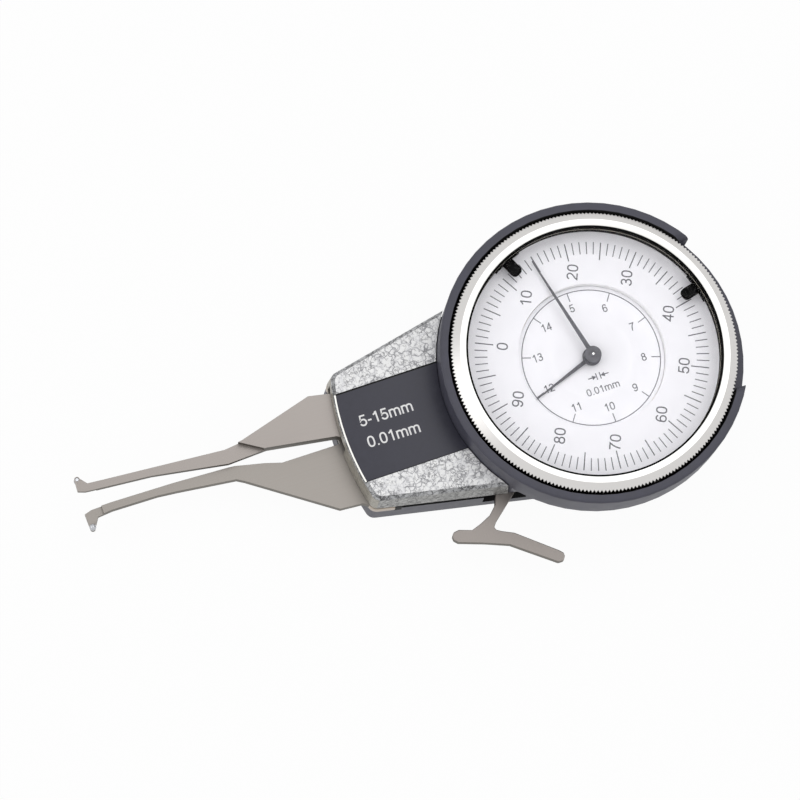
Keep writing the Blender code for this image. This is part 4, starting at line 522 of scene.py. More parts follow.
SLOT_FINISHES = {
    "cast_body": CASE_ENAMEL, "hammer_silver": COVER_ENAMEL, "label_grey": LABEL_PLATE,
    "satin_steel": ARM_STEEL, "turned_silver": BEZEL_CROWN, "clear_window": WINDOW,
    "seal_black": GASKET_RUBBER, "marker_black": MARKER_NYLON, "dial_white": DIAL_ENAMEL,
    "hand_grey": HAND_LACQUER, "hard_metal": CARBIDE, "brass": BRASS, "spring_steel": SPRING_STEEL,
}


# Shapes as arrays


@dataclass
class Shape:
    """Points in metres and faces, on their way into a mesh."""

    points: np.ndarray
    faces: list

    def __add__(self, other: "Shape") -> "Shape":
        """Return both shapes in one list of points."""
        moved = [tuple(int(i) + len(self.points) for i in face) for face in other.faces]
        return Shape(np.vstack([self.points, other.points]), list(self.faces) + moved)

    def moved(self, angle: float, x: float = 0.0, y: float = 0.0, z: float = 0.0) -> "Shape":
        """Return the shape turned about the upright axis, then shifted by millimetres."""
        c, s = math.cos(angle), math.sin(angle)
        return Shape(self.points @ np.array([[c, s, 0], [-s, c, 0], [0, 0, 1]]) + np.array([x, y, z]) * MM,
                     self.faces)


def joined(shapes: Iterable[Shape]) -> Shape:
    """Return several shapes as one."""
    return reduce(operator.add, shapes)


def unit(angles: np.ndarray | float) -> np.ndarray:
    """Return the flat unit vectors that point along angles, in radians."""
    return np.stack([np.cos(angles), np.sin(angles)], -1)


def lattice(points: np.ndarray, round_u: bool, round_v: bool) -> Shape:
    """Join a grid of points into four-sided faces.

    Args:
        points: an array of rows, columns and three coordinates.
        round_u: whether the last row joins the first.
        round_v: whether the last column joins the first.

    Returns:
        The grid as a shape.
    """
    rows, columns = points.shape[:2]
    index = np.arange(rows * columns).reshape(rows, columns)
    below = np.roll(index, -1, 0)
    quads = np.stack([index, below, np.roll(below, -1, 1), np.roll(index, -1, 1)], -1)
    quads = quads[:rows if round_u else rows - 1, :columns if round_v else columns - 1]
    return Shape(points.reshape(-1, 3), quads.reshape(-1, 4).tolist())


def section(inner: float, outer: float, low: float, high: float) -> np.ndarray:
    """Return the corners of a ring's rectangular section, as pairs of radius and level."""
    return np.array([(inner, low), (outer, low), (outer, high), (inner, high)])


def revolved(profile: np.ndarray, steps: int, start: float = 0.0, end: float = FULL_TURN, solid: bool = False
             ) -> Shape:
    """Carry a profile of radius and level round the upright axis.

    A point is (r cos a, r sin a, z), for each angle a and each pair r, z of the profile.

    Args:
        profile: pairs of radius and level in millimetres, in order round the section.
        steps: how many angles.
        start: the first angle.
        end: the last angle, a full turn on for a closed ring.
        solid: whether the profile starts and ends on the axis, and so isn't closed there.

    Returns:
        A closed ring or solid, or a part of a ring with both ends capped.
    """
    whole = abs(end - start - FULL_TURN) < 1e-9
    angles = np.linspace(start, end, steps, endpoint=not whole)
    r, z = profile[:, 0] * MM, profile[:, 1] * MM
    points = np.stack([
        np.outer(np.cos(angles), r), np.outer(np.sin(angles), r), np.broadcast_to(z, (steps, len(z))),
    ], -1)
    shape = lattice(points, whole, not solid)
    if not whole:
        count = len(z)
        last = (steps - 1) * count
        shape.faces += [tuple(range(count)), tuple(range(last + count - 1, last - 1, -1))]
    return shape


def rounded(profile: list[tuple[float, float]] | np.ndarray, radius: float, steps: int = 4) -> np.ndarray:
    """Round every corner of a closed profile by a curve whose ends lie a radius from the corner.

    Each corner p with the points a and b beside it becomes (1 - t)^2 a + 2 t (1 - t) p + t^2 b.

    Args:
        profile: the corners.
        radius: the distance from a corner at which its curve starts, less where sides are short.
        steps: points of each curve, less one.

    Returns:
        The rounded profile as an array.
    """
    corner = np.array(profile, float)
    ends = []
    for shift in (1, -1):
        side = np.roll(corner, shift, 0) - corner
        length = np.linalg.norm(side, axis=1)
        reach = np.minimum(radius, length * 0.45)
        ends.append((corner + side * (reach / length)[:, None])[:, None])
    t = np.linspace(0, 1, steps + 1)[None, :, None]
    curve = (1 - t) ** 2 * ends[0] + 2 * t * (1 - t) * corner[:, None] + t ** 2 * ends[1]
    return curve.reshape(-1, 2)


def inset(outline: np.ndarray, distance: float) -> np.ndarray:
    """Move each corner of a closed outline inwards, so that both its sides move by the distance.

    With m and n the normals of its two sides, a corner moves by d (m + n) / (|m + n|^2 / 2).

    Args:
        outline: the corners in millimetres.
        distance: how far the sides move.

    Returns:
        The moved corners.
    """
    side = np.roll(outline, -1, 0) - outline
    side /= np.maximum(np.linalg.norm(side, axis=1, keepdims=True), TINY)
    turned = np.stack([side[:, 1], -side[:, 0]], -1)
    both = turned + np.roll(turned, 1, 0)
    both /= np.maximum((both ** 2).sum(1, keepdims=True) / 2, 0.4)
    area = (outline[:, 0] * np.roll(outline[:, 1], -1) - np.roll(outline[:, 0], -1) * outline[:, 1]).sum()
    return outline - both * distance * np.sign(area)


def slab(outline: np.ndarray, low: float, high: float, edge: float, steps: int = 3) -> Shape:
    """Make a flat plate whose rim is rounded above and below.

    Ring k of its wall is the outline moved inwards by e (1 - sin a), at the level e (1 - cos a) from a face,
    as a goes from nought to a quarter turn.

    Args:
        outline: the plate's corners in millimetres.
        low: its lower level.
        high: its upper level.
        edge: the rounding of its rim.
        steps: rings of each rounding, less one.

    Returns:
        A closed plate.
    """
    outline = np.array(outline, float)
    angle = np.linspace(0, math.pi / 2, steps + 1)
    shrink = edge * (1 - np.sin(angle))
    rise = edge * (1 - np.cos(angle))
    rings = [(s, low + r) for s, r in zip(shrink, rise)]
    rings += [(s, high - r) for s, r in zip(shrink[::-1], rise[::-1])]
    count = len(outline)
    levels = [np.column_stack([inset(outline, s), np.full(count, level)]) for s, level in rings]
    points = np.stack(levels) * MM
    shape = lattice(points, False, True)
    last = (len(rings) - 1) * count
    shape.faces += [tuple(range(count - 1, -1, -1)), tuple(range(last, last + count))]
    return shape


def bars(starts: np.ndarray, ends: np.ndarray, widths: np.ndarray, low: float, high: float) -> Shape:
    """Make many short flat bars at once, such as the marks of a scale.

    The corners of a bar are its two ends, each moved half a width to both sides, at both levels.

    Args:
        starts: the bars' first ends in millimetres.
        ends: their last ends.
        widths: their widths.
        low: their lower level.
        high: their upper level.

    Returns:
        All bars as one shape.
    """
    along = ends - starts
    along = along / np.linalg.norm(along, axis=1, keepdims=True)
    side = np.stack([-along[:, 1], along[:, 0]], -1) * widths[:, None] / 2
    plan = np.stack([starts - side, ends - side, ends + side, starts + side], 1)
    levels = np.array([low, high])
    points = np.concatenate([
        np.broadcast_to(plan[:, None], (len(starts), 2, 4, 2)),
        np.broadcast_to(levels[None, :, None, None], (len(starts), 2, 4, 1)),
    ], -1).reshape(-1, 3) * MM
    box = np.array([[3, 2, 1, 0], [4, 5, 6, 7], [0, 1, 5, 4], [1, 2, 6, 5], [2, 3, 7, 6], [3, 0, 4, 7]])
    faces = (np.arange(len(starts))[:, None, None] * 8 + box[None]).reshape(-1, 4)
    return Shape(points, faces.tolist())


def spokes(angles: np.ndarray, inner: np.ndarray, outer: float, widths: np.ndarray, low: float, high: float
           ) -> Shape:
    """Return bars that point away from the dial's axis, from their inner radii to one outer radius."""
    ray = unit(angles)
    return bars(ray * inner[:, None], ray * outer, widths, low, high)


def ribbon(line: np.ndarray, width: float, low: float, high: float, closed: bool = False) -> Shape:
    """Carry a flat rectangle along a line, with mitred corners.

    At each point the rectangle stands square to the mean of the directions before and behind, and its half
    width is divided by the cosine of half the turn, up to twice the width.

    Args:
        line: the points of the line in millimetres.
        width: the width of the ribbon.
        low: its lower level.
        high: its upper level.
        closed: whether the last point joins the first.

    Returns:
        A closed prism.
    """
    ahead = np.roll(line, -1, 0) - line
    ahead /= np.maximum(np.linalg.norm(ahead, axis=1, keepdims=True), TINY)
    behind = np.roll(ahead, 1, 0)
    if not closed:
        ahead[-1] = behind[-1]
        behind[0] = ahead[0]
    mean = ahead + behind
    mean /= np.maximum(np.linalg.norm(mean, axis=1, keepdims=True), TINY)
    reach = width / 2 / np.maximum((mean * ahead).sum(1, keepdims=True), 0.5)
    side = np.stack([-mean[:, 1], mean[:, 0]], -1) * reach
    flat = np.full((len(line), 1), 1.0)
    points = np.stack([
        np.hstack([line + side, flat * low]), np.hstack([line - side, flat * low]),
        np.hstack([line - side, flat * high]), np.hstack([line + side, flat * high]),
    ], 1) * MM
    shape = lattice(points, closed, True)
    if not closed:
        last = (len(line) - 1) * 4
        shape.faces += [(0, 1, 2, 3), (last + 3, last + 2, last + 1, last)]
    return shape


# Letters


def bow(x: float, y: float, across: float, up: float, start_deg: float, end_deg: float, square: float = 2.2
        ) -> np.ndarray:
    """Return an arc of a squarish ellipse.

    A point is x + a |cos t|^(2/n) and y + b |sin t|^(2/n), with the signs of cos t and sin t.

    Args:
        x: the centre.
        y: the centre.
        across: half the width.
        up: half the height.
        start_deg: the first angle.
        end_deg: the last angle, less than the first for a clockwise arc.
        square: the exponent n, 2 for a true ellipse.

    Returns:
        The points of the arc.
    """
    steps = max(4, round(abs(end_deg - start_deg) / 14) + 1)
    t = np.radians(np.linspace(start_deg, end_deg, steps))
    c, s = np.cos(t), np.sin(t)
    return np.column_stack([
        x + across * np.sign(c) * np.abs(c) ** (2 / square), y + up * np.sign(s) * np.abs(s) ** (2 / square),
    ])


def figure_lines() -> dict[str, tuple[float, list[tuple[np.ndarray, bool]]]]:
    """Return each character's step and its pen lines, for a figure one unit tall.

    Returns:
        For each character, how far the next one starts, and its lines with whether each is closed.
    """
    def ring(*numbers: float) -> tuple[np.ndarray, bool]:
        """Return a closed bow round a centre."""
        x, y, across, up, *square = numbers
        return bow(x, y, across, up, 0, 350, *square), True

    def pen(*parts: list | np.ndarray) -> tuple[np.ndarray, bool]:
        """Return an open line through points and bows."""
        return np.vstack([np.array(part) for part in parts]), False

    six = [ring(0.395, 0.32, 0.265, 0.26), pen(bow(0.42, 0.49, 0.285, 0.45, 38, 195))]
    nine = [(np.array([0.784, 1.0]) - line, closed) for line, closed in six]
    arches = [pen(bow(x, 0.50, 0.2225, 0.185, 180, 0), [(x + 0.2225, 0.0)]) for x in (0.3625, 0.8075)]
    digits = {
        "0": [ring(0.392, 0.5, 0.27, 0.44, 2.5)],
        "1": [pen([(0.47, 0.0), (0.47, 1.0)]),
              pen([(0.17, 0.735), (0.30, 0.79), (0.39, 0.87), (0.45, 0.98)])],
        "2": [pen(bow(0.392, 0.70, 0.255, 0.24, 172, -38),
                  [(0.46, 0.40), (0.24, 0.22), (0.13, 0.06), (0.70, 0.06)])],
        "3": [pen(bow(0.38, 0.735, 0.23, 0.205, 165, -90), [(0.30, 0.53)]),
              pen([(0.31, 0.531)], bow(0.38, 0.295, 0.27, 0.236, 90, -168))],
        "4": [pen([(0.535, 0.0), (0.535, 1.0)]), pen([(0.52, 0.93), (0.10, 0.29), (0.72, 0.29)])],
        "5": [pen([(0.67, 0.94), (0.225, 0.94), (0.155, 0.49)], bow(0.38, 0.325, 0.27, 0.265, 138, -165))],
        "6": six,
        "7": [pen([(0.09, 0.94), (0.68, 0.94), (0.50, 0.70), (0.38, 0.45), (0.31, 0.20), (0.28, 0.0)])],
        "8": [ring(0.392, 0.735, 0.22, 0.205), ring(0.392, 0.29, 0.265, 0.235)],
        "9": nine,
    }
    return {character: (0.784, lines) for character, lines in digits.items()} | {
        "m": (1.175, [pen([(0.14, 0.0), (0.14, 0.73)])] + arches),
        ".": (0.392, [pen([(0.196, 0.0), (0.196, 0.13)])]),
        "-": (0.47, [pen([(0.05, 0.39), (0.40, 0.39)])]),
    }


def lettered(text: str, height: float, stroke: float, depth: float, width: float = 1.0, centred: bool = True
             ) -> Shape:
    """Write words in a plain sans letter, each pen line as a ribbon.

    Args:
        text: figures, m, full stop and hyphen.
        height: the height of a figure in millimetres.
        stroke: the pen's width as a share of the height.
        depth: the thickness of the ink, half of it above the origin's level.
        width: how wide the letters are against their usual width.
        centred: whether the words' middle lies at the origin, or the start of their base line.

    Returns:
        The letters as closed prisms.
    """
    table = figure_lines()
    # Lines that cross get tops at different levels, so that no two faces lie in one plane
    step_up, levels = 0.0004, 5
    parts = []
    at = 0.0
    for character in text:
        step, lines = table[character]
        for line, closed in lines:
            lift = step_up * ((len(parts) + 1) % levels)
            drawn = (line + np.array([at, 0.0])) * np.array([height * width, height])
            parts.append(ribbon(drawn, stroke * height, -depth / 2, depth / 2 + lift, closed))
        at += step
    written = joined(parts)
    if centred:
        written.points -= np.array([at * height * width / 2, height / 2, 0]) * MM
    return written


# Pieces


def painted(mesh: bpy.types.Mesh, finishes: tuple[Finish, ...], zones: Zones | None) -> None:
    """Give a mesh its materials, and each face the one that its place and direction call for.

    Args:
        mesh: the mesh.
        finishes: the finishes, in the order that the zones number them.
        zones: works out each face's number, or None for the first finish all over.
    """
    for finish in finishes:
        mesh.materials.append(finish.made())
    if zones is None:
        return
    count = len(mesh.polygons)
    centre, normal = np.zeros(count * 3), np.zeros(count * 3)
    mesh.polygons.foreach_get("center", centre)
    mesh.polygons.foreach_get("normal", normal)
    number = zones(centre.reshape(-1, 3) / MM, normal.reshape(-1, 3))
    mesh.polygons.foreach_set("material_index", number.astype(np.int32))


def linked(name: str, mesh: bpy.types.Mesh, sharp_deg: float, finishes: tuple[Finish, ...],
           zones: Zones | None) -> bpy.types.Object:
    """Shade and paint a mesh, and put it into the scene.

    Args:
        name: the piece's name.
        mesh: the mesh, its faces pointing outwards.
        sharp_deg: the angle between faces above which an edge stays sharp.
        finishes: what it is made of.
        zones: picks a finish for each face, or None.

    Returns:
        The piece, with its object at the origin.
    """
    mesh.shade_smooth()
    mesh.set_sharp_from_angle(angle=math.radians(sharp_deg))
    painted(mesh, finishes, zones)
    piece = bpy.data.objects.new(name, mesh)
    bpy.context.scene.collection.objects.link(piece)
    return piece


def placed(name: str, shape: Shape, *finishes: Finish, sharp_deg: float = 32.0, zones: Zones | None = None
           ) -> bpy.types.Object:
    """Put a shape into a mesh, close its seams, turn its faces outwards and give it its finish.

    Args:
        name: the piece's name.
        shape: its points and faces.
        finishes: what it is made of.
        sharp_deg: the angle between faces above which an edge stays sharp.
        zones: picks a finish for each face, where there are several.

    Returns:
        The piece.
    """
    mesh = bpy.data.meshes.new(name)
    mesh.from_pydata(shape.points, [], shape.faces)
    work = bmesh.new()
    work.from_mesh(mesh)
    bmesh.ops.remove_doubles(work, verts=work.verts, dist=WELD)
    bmesh.ops.recalc_face_normals(work, faces=work.faces)
    work.to_mesh(mesh)
    work.free()
    return linked(name, mesh, sharp_deg, finishes, zones)


def mounted(piece: bpy.types.Object, body: str, slot: str, *nodes: str) -> None:
    """Let a piece ride on a body, and hide what it stands for.

    Args:
        piece: the new piece.
        body: the CAD body that it moves with.
        slot: the record's material slot; not used.
        nodes: the CAD nodes that it replaces.
    """
    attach(piece, body)
    if nodes:
        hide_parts(*nodes)
    LOG.info("%s: %d faces, rides on %s", piece.name, len(piece.data.polygons), body)


def merged_copy(node: str, name: str) -> bpy.types.Mesh:
    """Copy a CAD node's solid, and merge its loose triangles into flat faces of four corners at most.

    Args:
        node: the CAD node.
        name: the new mesh's name.

    Returns:
        The mesh.
    """
    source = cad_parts[node].data
    points = np.zeros(len(source.vertices) * 3)
    source.vertices.foreach_get("co", points)
    keys, index = np.unique(np.round(points.reshape(-1, 3), 7), axis=0, return_inverse=True)
    corners = np.zeros(len(source.loops), np.int64)
    source.loops.foreach_get("vertex_index", corners)
    faces = index.reshape(-1)[corners].reshape(-1, 3)
    proper = (faces[:, 0] != faces[:, 1]) & (faces[:, 1] != faces[:, 2]) & (faces[:, 2] != faces[:, 0])
    mesh = bpy.data.meshes.new(name)
    mesh.from_pydata(keys, [], faces[proper].tolist())
    work = bmesh.new()
    work.from_mesh(mesh)
    bmesh.ops.dissolve_limit(work, angle_limit=math.radians(0.6), verts=work.verts, edges=work.edges)
    bmesh.ops.dissolve_degenerate(work, dist=1e-6, edges=work.edges)
    large = [face for face in work.faces if len(face.verts) > 4]
    bmesh.ops.triangulate(work, faces=large, quad_method="BEAUTY", ngon_method="BEAUTY")
    work.to_mesh(mesh)
    work.free()
    return mesh


def dressed_casting(node: str, name: str, edge_mm: float, *finishes: Finish, zones: Zones | None = None
                    ) -> bpy.types.Object:
    """Copy a CAD node's solid and round its edges.

    Args:
        node: the CAD node.
        name: the new piece's name.
        edge_mm: the width of the rounding.
        finishes: what it is made of.
        zones: picks a finish for each face, where there are several.

    Returns:
        The piece, with a live Bevel whose faces shade evenly.
    """
    # Edges between faces at a greater angle than this are rounded
    sharp_deg = 28.0
    piece = linked(name, merged_copy(node, name), sharp_deg, finishes, zones)
    soft = piece.modifiers.new("edges", "BEVEL")
    soft.width = edge_mm * MM
    soft.segments = 2
    soft.limit_method = "ANGLE"
    soft.angle_limit = math.radians(sharp_deg)
    soft.miter_outer = "MITER_ARC"
    soft.harden_normals = False
    even = piece.modifiers.new("even_shading", "WEIGHTED_NORMAL")
    even.weight = 50
    even.keep_sharp = True
    return piece


def outwardness(centre: np.ndarray, normal: np.ndarray) -> tuple[np.ndarray, np.ndarray]:
    """Return how far faces lie from the dial's axis, and how much each looks away from it, from -1 to 1."""
    reach = np.maximum(np.hypot(centre[:, 0], centre[:, 1]), 1e-9)
    return reach, (centre[:, :2] * normal[:, :2]).sum(1) / reach


# The gauge's own sub-assemblies


@dataclass
class Housing:
    """Round case, wedge cover and the plate with the range on it. Sizes are in millimetres."""

    case_edge: float = 0.2
    back_edge: float = 0.15
    cover_edge: float = 0.2
    seam_level: float = 7.0
    wedge_start: float = -28.0
    wedge_reach: float = 55.0
    # Levels between which the inner walls of the wedge stand
    floor_level: float = 1.0
    gap_level: float = 2.0
    wall_top: float = 12.0
    rim_inner: float = 31.4
    ledge_level: float = 16.4
    cover_front: float = 54.0
    cover_cut_x: float = -53.0
    cover_slope_level: float = 14.7
    label_front: float = 55.9
    label_rear: float = 33.26
    label_half_width: float = 9.97
    label_low: float = 15.1
    label_high: float = 15.5
    label_edge: float = 0.06
    bright_width: float = 0.3
    bright_overhang: float = 0.04
    groove_widths: tuple[float, float] = (0.22, 0.08)
    text_height: float = 2.42
    text_stroke: float = 0.145
    text_depth: float = 0.03
    # Words with the place where each line starts, its turn in radians and its width
    text: tuple = (("5-15mm", -51.99, 1.64, -0.0158, 0.97), ("0.01mm", -51.84, -3.19, -0.0222, 0.965))

    def build(self) -> None:
        """Make the case, the cover and the label."""
        # The case's seam, inside and gaps are painted black as shade
        case = dressed_casting("case_body", "case_body_enamelled", self.case_edge, CASE_ENAMEL, SHADE_BLACK,
                               CASE_EDGE_SHADE, zones=self.case_zones)
        # The bevels take the third finish: painted shade along the case's edges
        case.modifiers["edges"].material = 2
        mounted(case, "case", "cast_body", "case_body")
        # The cover's hidden faces are painted black as shade
        cover = dressed_casting("front_cover", "front_cover_hammered", self.cover_edge, COVER_ENAMEL,
                                COVER_SLOPE_SHADED, COVER_SIDE_SHADED, COVER_MILLED, SHADE_BLACK, zones=self.cover_zones)
        mounted(cover, "case", "hammer_silver", "front_cover")
        back = dressed_casting("back_cover", "back_cover_enamelled", self.back_edge, CASE_ENAMEL)
        mounted(back, "case", "cast_body", "back_cover")
        self.build_label()

    def case_zones(self, centre: np.ndarray, normal: np.ndarray) -> np.ndarray:
        """Pick the case's faces that are painted black as shade: the seam, the inside and the gap round the
        bezel.

        Args:
            centre: the middles of the faces in millimetres.
            normal: their normals.

        Returns:
            1 for those faces, 0 for the enamelled ones.
        """
        reach, outward = outwardness(centre, normal)
        x, y, z = centre.T
        up = normal[:, 2] > 0.9
        upright = np.abs(normal[:, 2]) < 0.4
        wedge = x < self.wedge_start
        seam = up & (np.abs(z - self.seam_level) < 0.6) & wedge
        inside = upright & wedge & (normal[:, 1] * y < 0) & (z > self.floor_level) & (z < self.wall_top)
        floor = up & (z < self.seam_level) & (z > self.floor_level) & (reach < self.wedge_reach)
        gap = upright & (outward < -0.5) & (reach < self.rim_inner + 0.3) & (z > self.gap_level)
        ledge = up & (np.abs(z - self.ledge_level) < 0.1) & (reach < self.rim_inner + 0.1)
        return (seam | inside | floor | gap | ledge).astype(int)

    def cover_zones(self, centre: np.ndarray, normal: np.ndarray) -> np.ndarray:
        """Tell the parts of the front cover from each other.

        Args:
            centre: the middles of the faces in millimetres.
            normal: their normals.

        Returns:
            0 for the top, 1 for the slopes and 2 for the sides, both in painted shade, 3 for the front face
            and 4 for the inside, painted black as shade.
        """
        reach, outward = outwardness(centre, normal)
        x, y, z = centre.T
        up = normal[:, 2]
        slope = (up > 0.3) & (up < 0.95)
        wall = np.abs(up) <= 0.3
        zone = np.where(slope, 1, np.where(wall, 2, 0))
        zone[(slope | wall) & (outward > 0.72) & (reach > self.cover_front)] = 3
        hidden = (up < -0.3) | (wall & (normal[:, 1] * y < 0) & (np.abs(normal[:, 1]) > 0.5))
        hidden |= wall & (outward < -0.3) & (z < self.cover_slope_level)
        cut = hidden & (x < self.cover_cut_x) & (up > -0.3)
        hidden |= (up > 0.9) & (z < self.label_low + 0.1)
        zone[hidden] = 4
        zone[cut] = 3
        return zone

    def label_outline(self, front: float, rear: float, half: float) -> np.ndarray:
        """Return the plate's outline: two arcs about the dial's axis, with straight sides between."""
        far, near = (math.asin(half / radius) for radius in (front, rear))
        return np.vstack([
            front * unit(math.pi + np.linspace(-far, far, 40)),
            rear * unit(math.pi + np.linspace(near, -near, 40)),
        ])

    def build_label(self) -> None:
        """Make the plate, its bright front edge, the grooves beside it and its two lines of figures."""
        front, rear, half = self.label_front - self.bright_width, self.label_rear, self.label_half_width
        plate = slab(self.label_outline(front, rear, half), self.label_low, self.label_high, self.label_edge)
        mounted(placed("label_plate_printed", plate, LABEL_PLATE), "case", "label_grey", "label_plate")
        lean = math.asin(half / self.label_front)
        wide = self.bright_width + self.bright_overhang
        middle = self.label_front + self.bright_overhang - wide / 2
        bright = ribbon(middle * unit(math.pi + np.linspace(-lean, lean, 48)), wide, self.label_low,
                        self.label_high + 0.02)
        mounted(placed("label_front_edge", bright, LABEL_EDGE), "case", "turned_silver")
        front_x, rear_x = (-math.sqrt(radius ** 2 - half ** 2) for radius in (front, rear))
        widths = np.array(self.groove_widths)
        sides = np.array([half - widths[0] / 2, widths[1] / 2 - half])
        grooves = bars(np.column_stack([np.full(2, front_x), sides]),
                       np.column_stack([np.full(2, rear_x), sides]), widths, self.label_high - 0.1,
                       self.label_high + 0.006)
        mounted(placed("label_grooves", grooves, LABEL_GROOVE), "case", "seal_black")
        words = joined(
            lettered(text, self.text_height, self.text_stroke, self.text_depth, width, centred=False).moved(
                turn, x, y, self.label_high) for text, x, y, turn, width in self.text)
        mounted(placed("label_figures", words, LETTER_INK), "case", "dial_white")


@dataclass
class MeasuringArms:
    """Both arms and the finger lever."""

    edge: float = 0.12
    front_radius: float = 56.5
    gauge_x: float = 55.0
    gauge_half_width: float = 14.64
    side_slope: float = 0.2126
    corner: float = 2.0
    # Places along the side at which the round's centre is tried
    corner_tries: int = 4000
    corner_reach: float = 3.6
    bar_low: float = 5.9
    bar_high: float = 8.35
    bar_proud: float = 0.18
    bar_depth: float = 2.5
    bar_gap: float = 1.5
    gap_low: float = 5.5
    gap_high: float = 8.5
    gap_sunk: float = 0.02

    def build(self) -> None:
        """Make the plates with their broken edges, and the ends of the fixed arm's bar."""
        for node, body, steel in (
            ("fixed_arm", "case", FIXED_STEEL), ("moving_arm", "moving_arm_body", ARM_STEEL),
            ("arm_lever", "moving_arm_body", LEVER_STEEL),
        ):
            plate = dressed_casting(node, f"{node}_ground", self.edge, steel, SHEARED_STEEL_SHADED, zones=self.zones)
            mounted(plate, body, "satin_steel", node)
        ends, gaps = zip(self.bar_corner(1), self.bar_corner(-1))
        mounted(placed("fixed_arm_bar_corners", joined(ends), BAR_STEEL), "case", "satin_steel")
        # Black plates of painted shade in the gaps behind the bar's ends
        mounted(placed("fixed_arm_bar_gap_shade", joined(gaps), SHADE_BLACK), "case", "seal_black")

    def bar_corner(self, side: int) -> tuple[Shape, Shape]:
        """Make the rounded end of the fixed arm's bar in a front corner of the wedge, and a black plate of
        painted shade in the gap behind it.

        Its round of radius c touches the front arc of radius R, so its centre lies at R - c from the dial's
        axis and at c inside the sloping side.

        Args:
            side: 1 for the side of the moving arm, -1 for the other.

        Returns:
            The end as a closed plate, and a black plate of painted shade that stands for the gap.
        """
        lean = math.atan(self.side_slope)
        reach = np.linspace(self.gauge_x - 10, self.front_radius, self.corner_tries)
        half = self.gauge_half_width + (self.gauge_x - reach) * self.side_slope - self.corner / math.cos(lean)
        best = np.argmin(np.abs(np.hypot(reach, half) - (self.front_radius - self.corner)))
        middle = np.array([-reach[best], half[best]])
        turn = np.linspace(math.pi / 2 + lean, math.atan2(middle[1], middle[0]), 12)
        curve = middle + (self.corner + self.bar_proud) * unit(turn)
        along, inward = unit(lean), np.array([0, self.bar_depth])
        rear = curve[0] + along * self.corner_reach
        outline = np.vstack([rear, curve, curve[-1] - inward, rear - inward])
        end = slab(outline * np.array([1, side]), self.bar_low, self.bar_high, self.edge)
        near = rear - np.array([0, self.gap_sunk])
        far = near + along * self.bar_gap
        gap = np.vstack([far, near, near - inward, far - inward])
        return end, slab(gap * np.array([1, side]), self.gap_low, self.gap_high, 0.01, 1)

    @staticmethod
    def zones(centre: np.ndarray, normal: np.ndarray) -> np.ndarray:
        """Return 1 for the sheared sides, which carry painted shade, 0 for the ground faces."""
        return (np.abs(normal[:, 2]) < 0.5).astype(int)


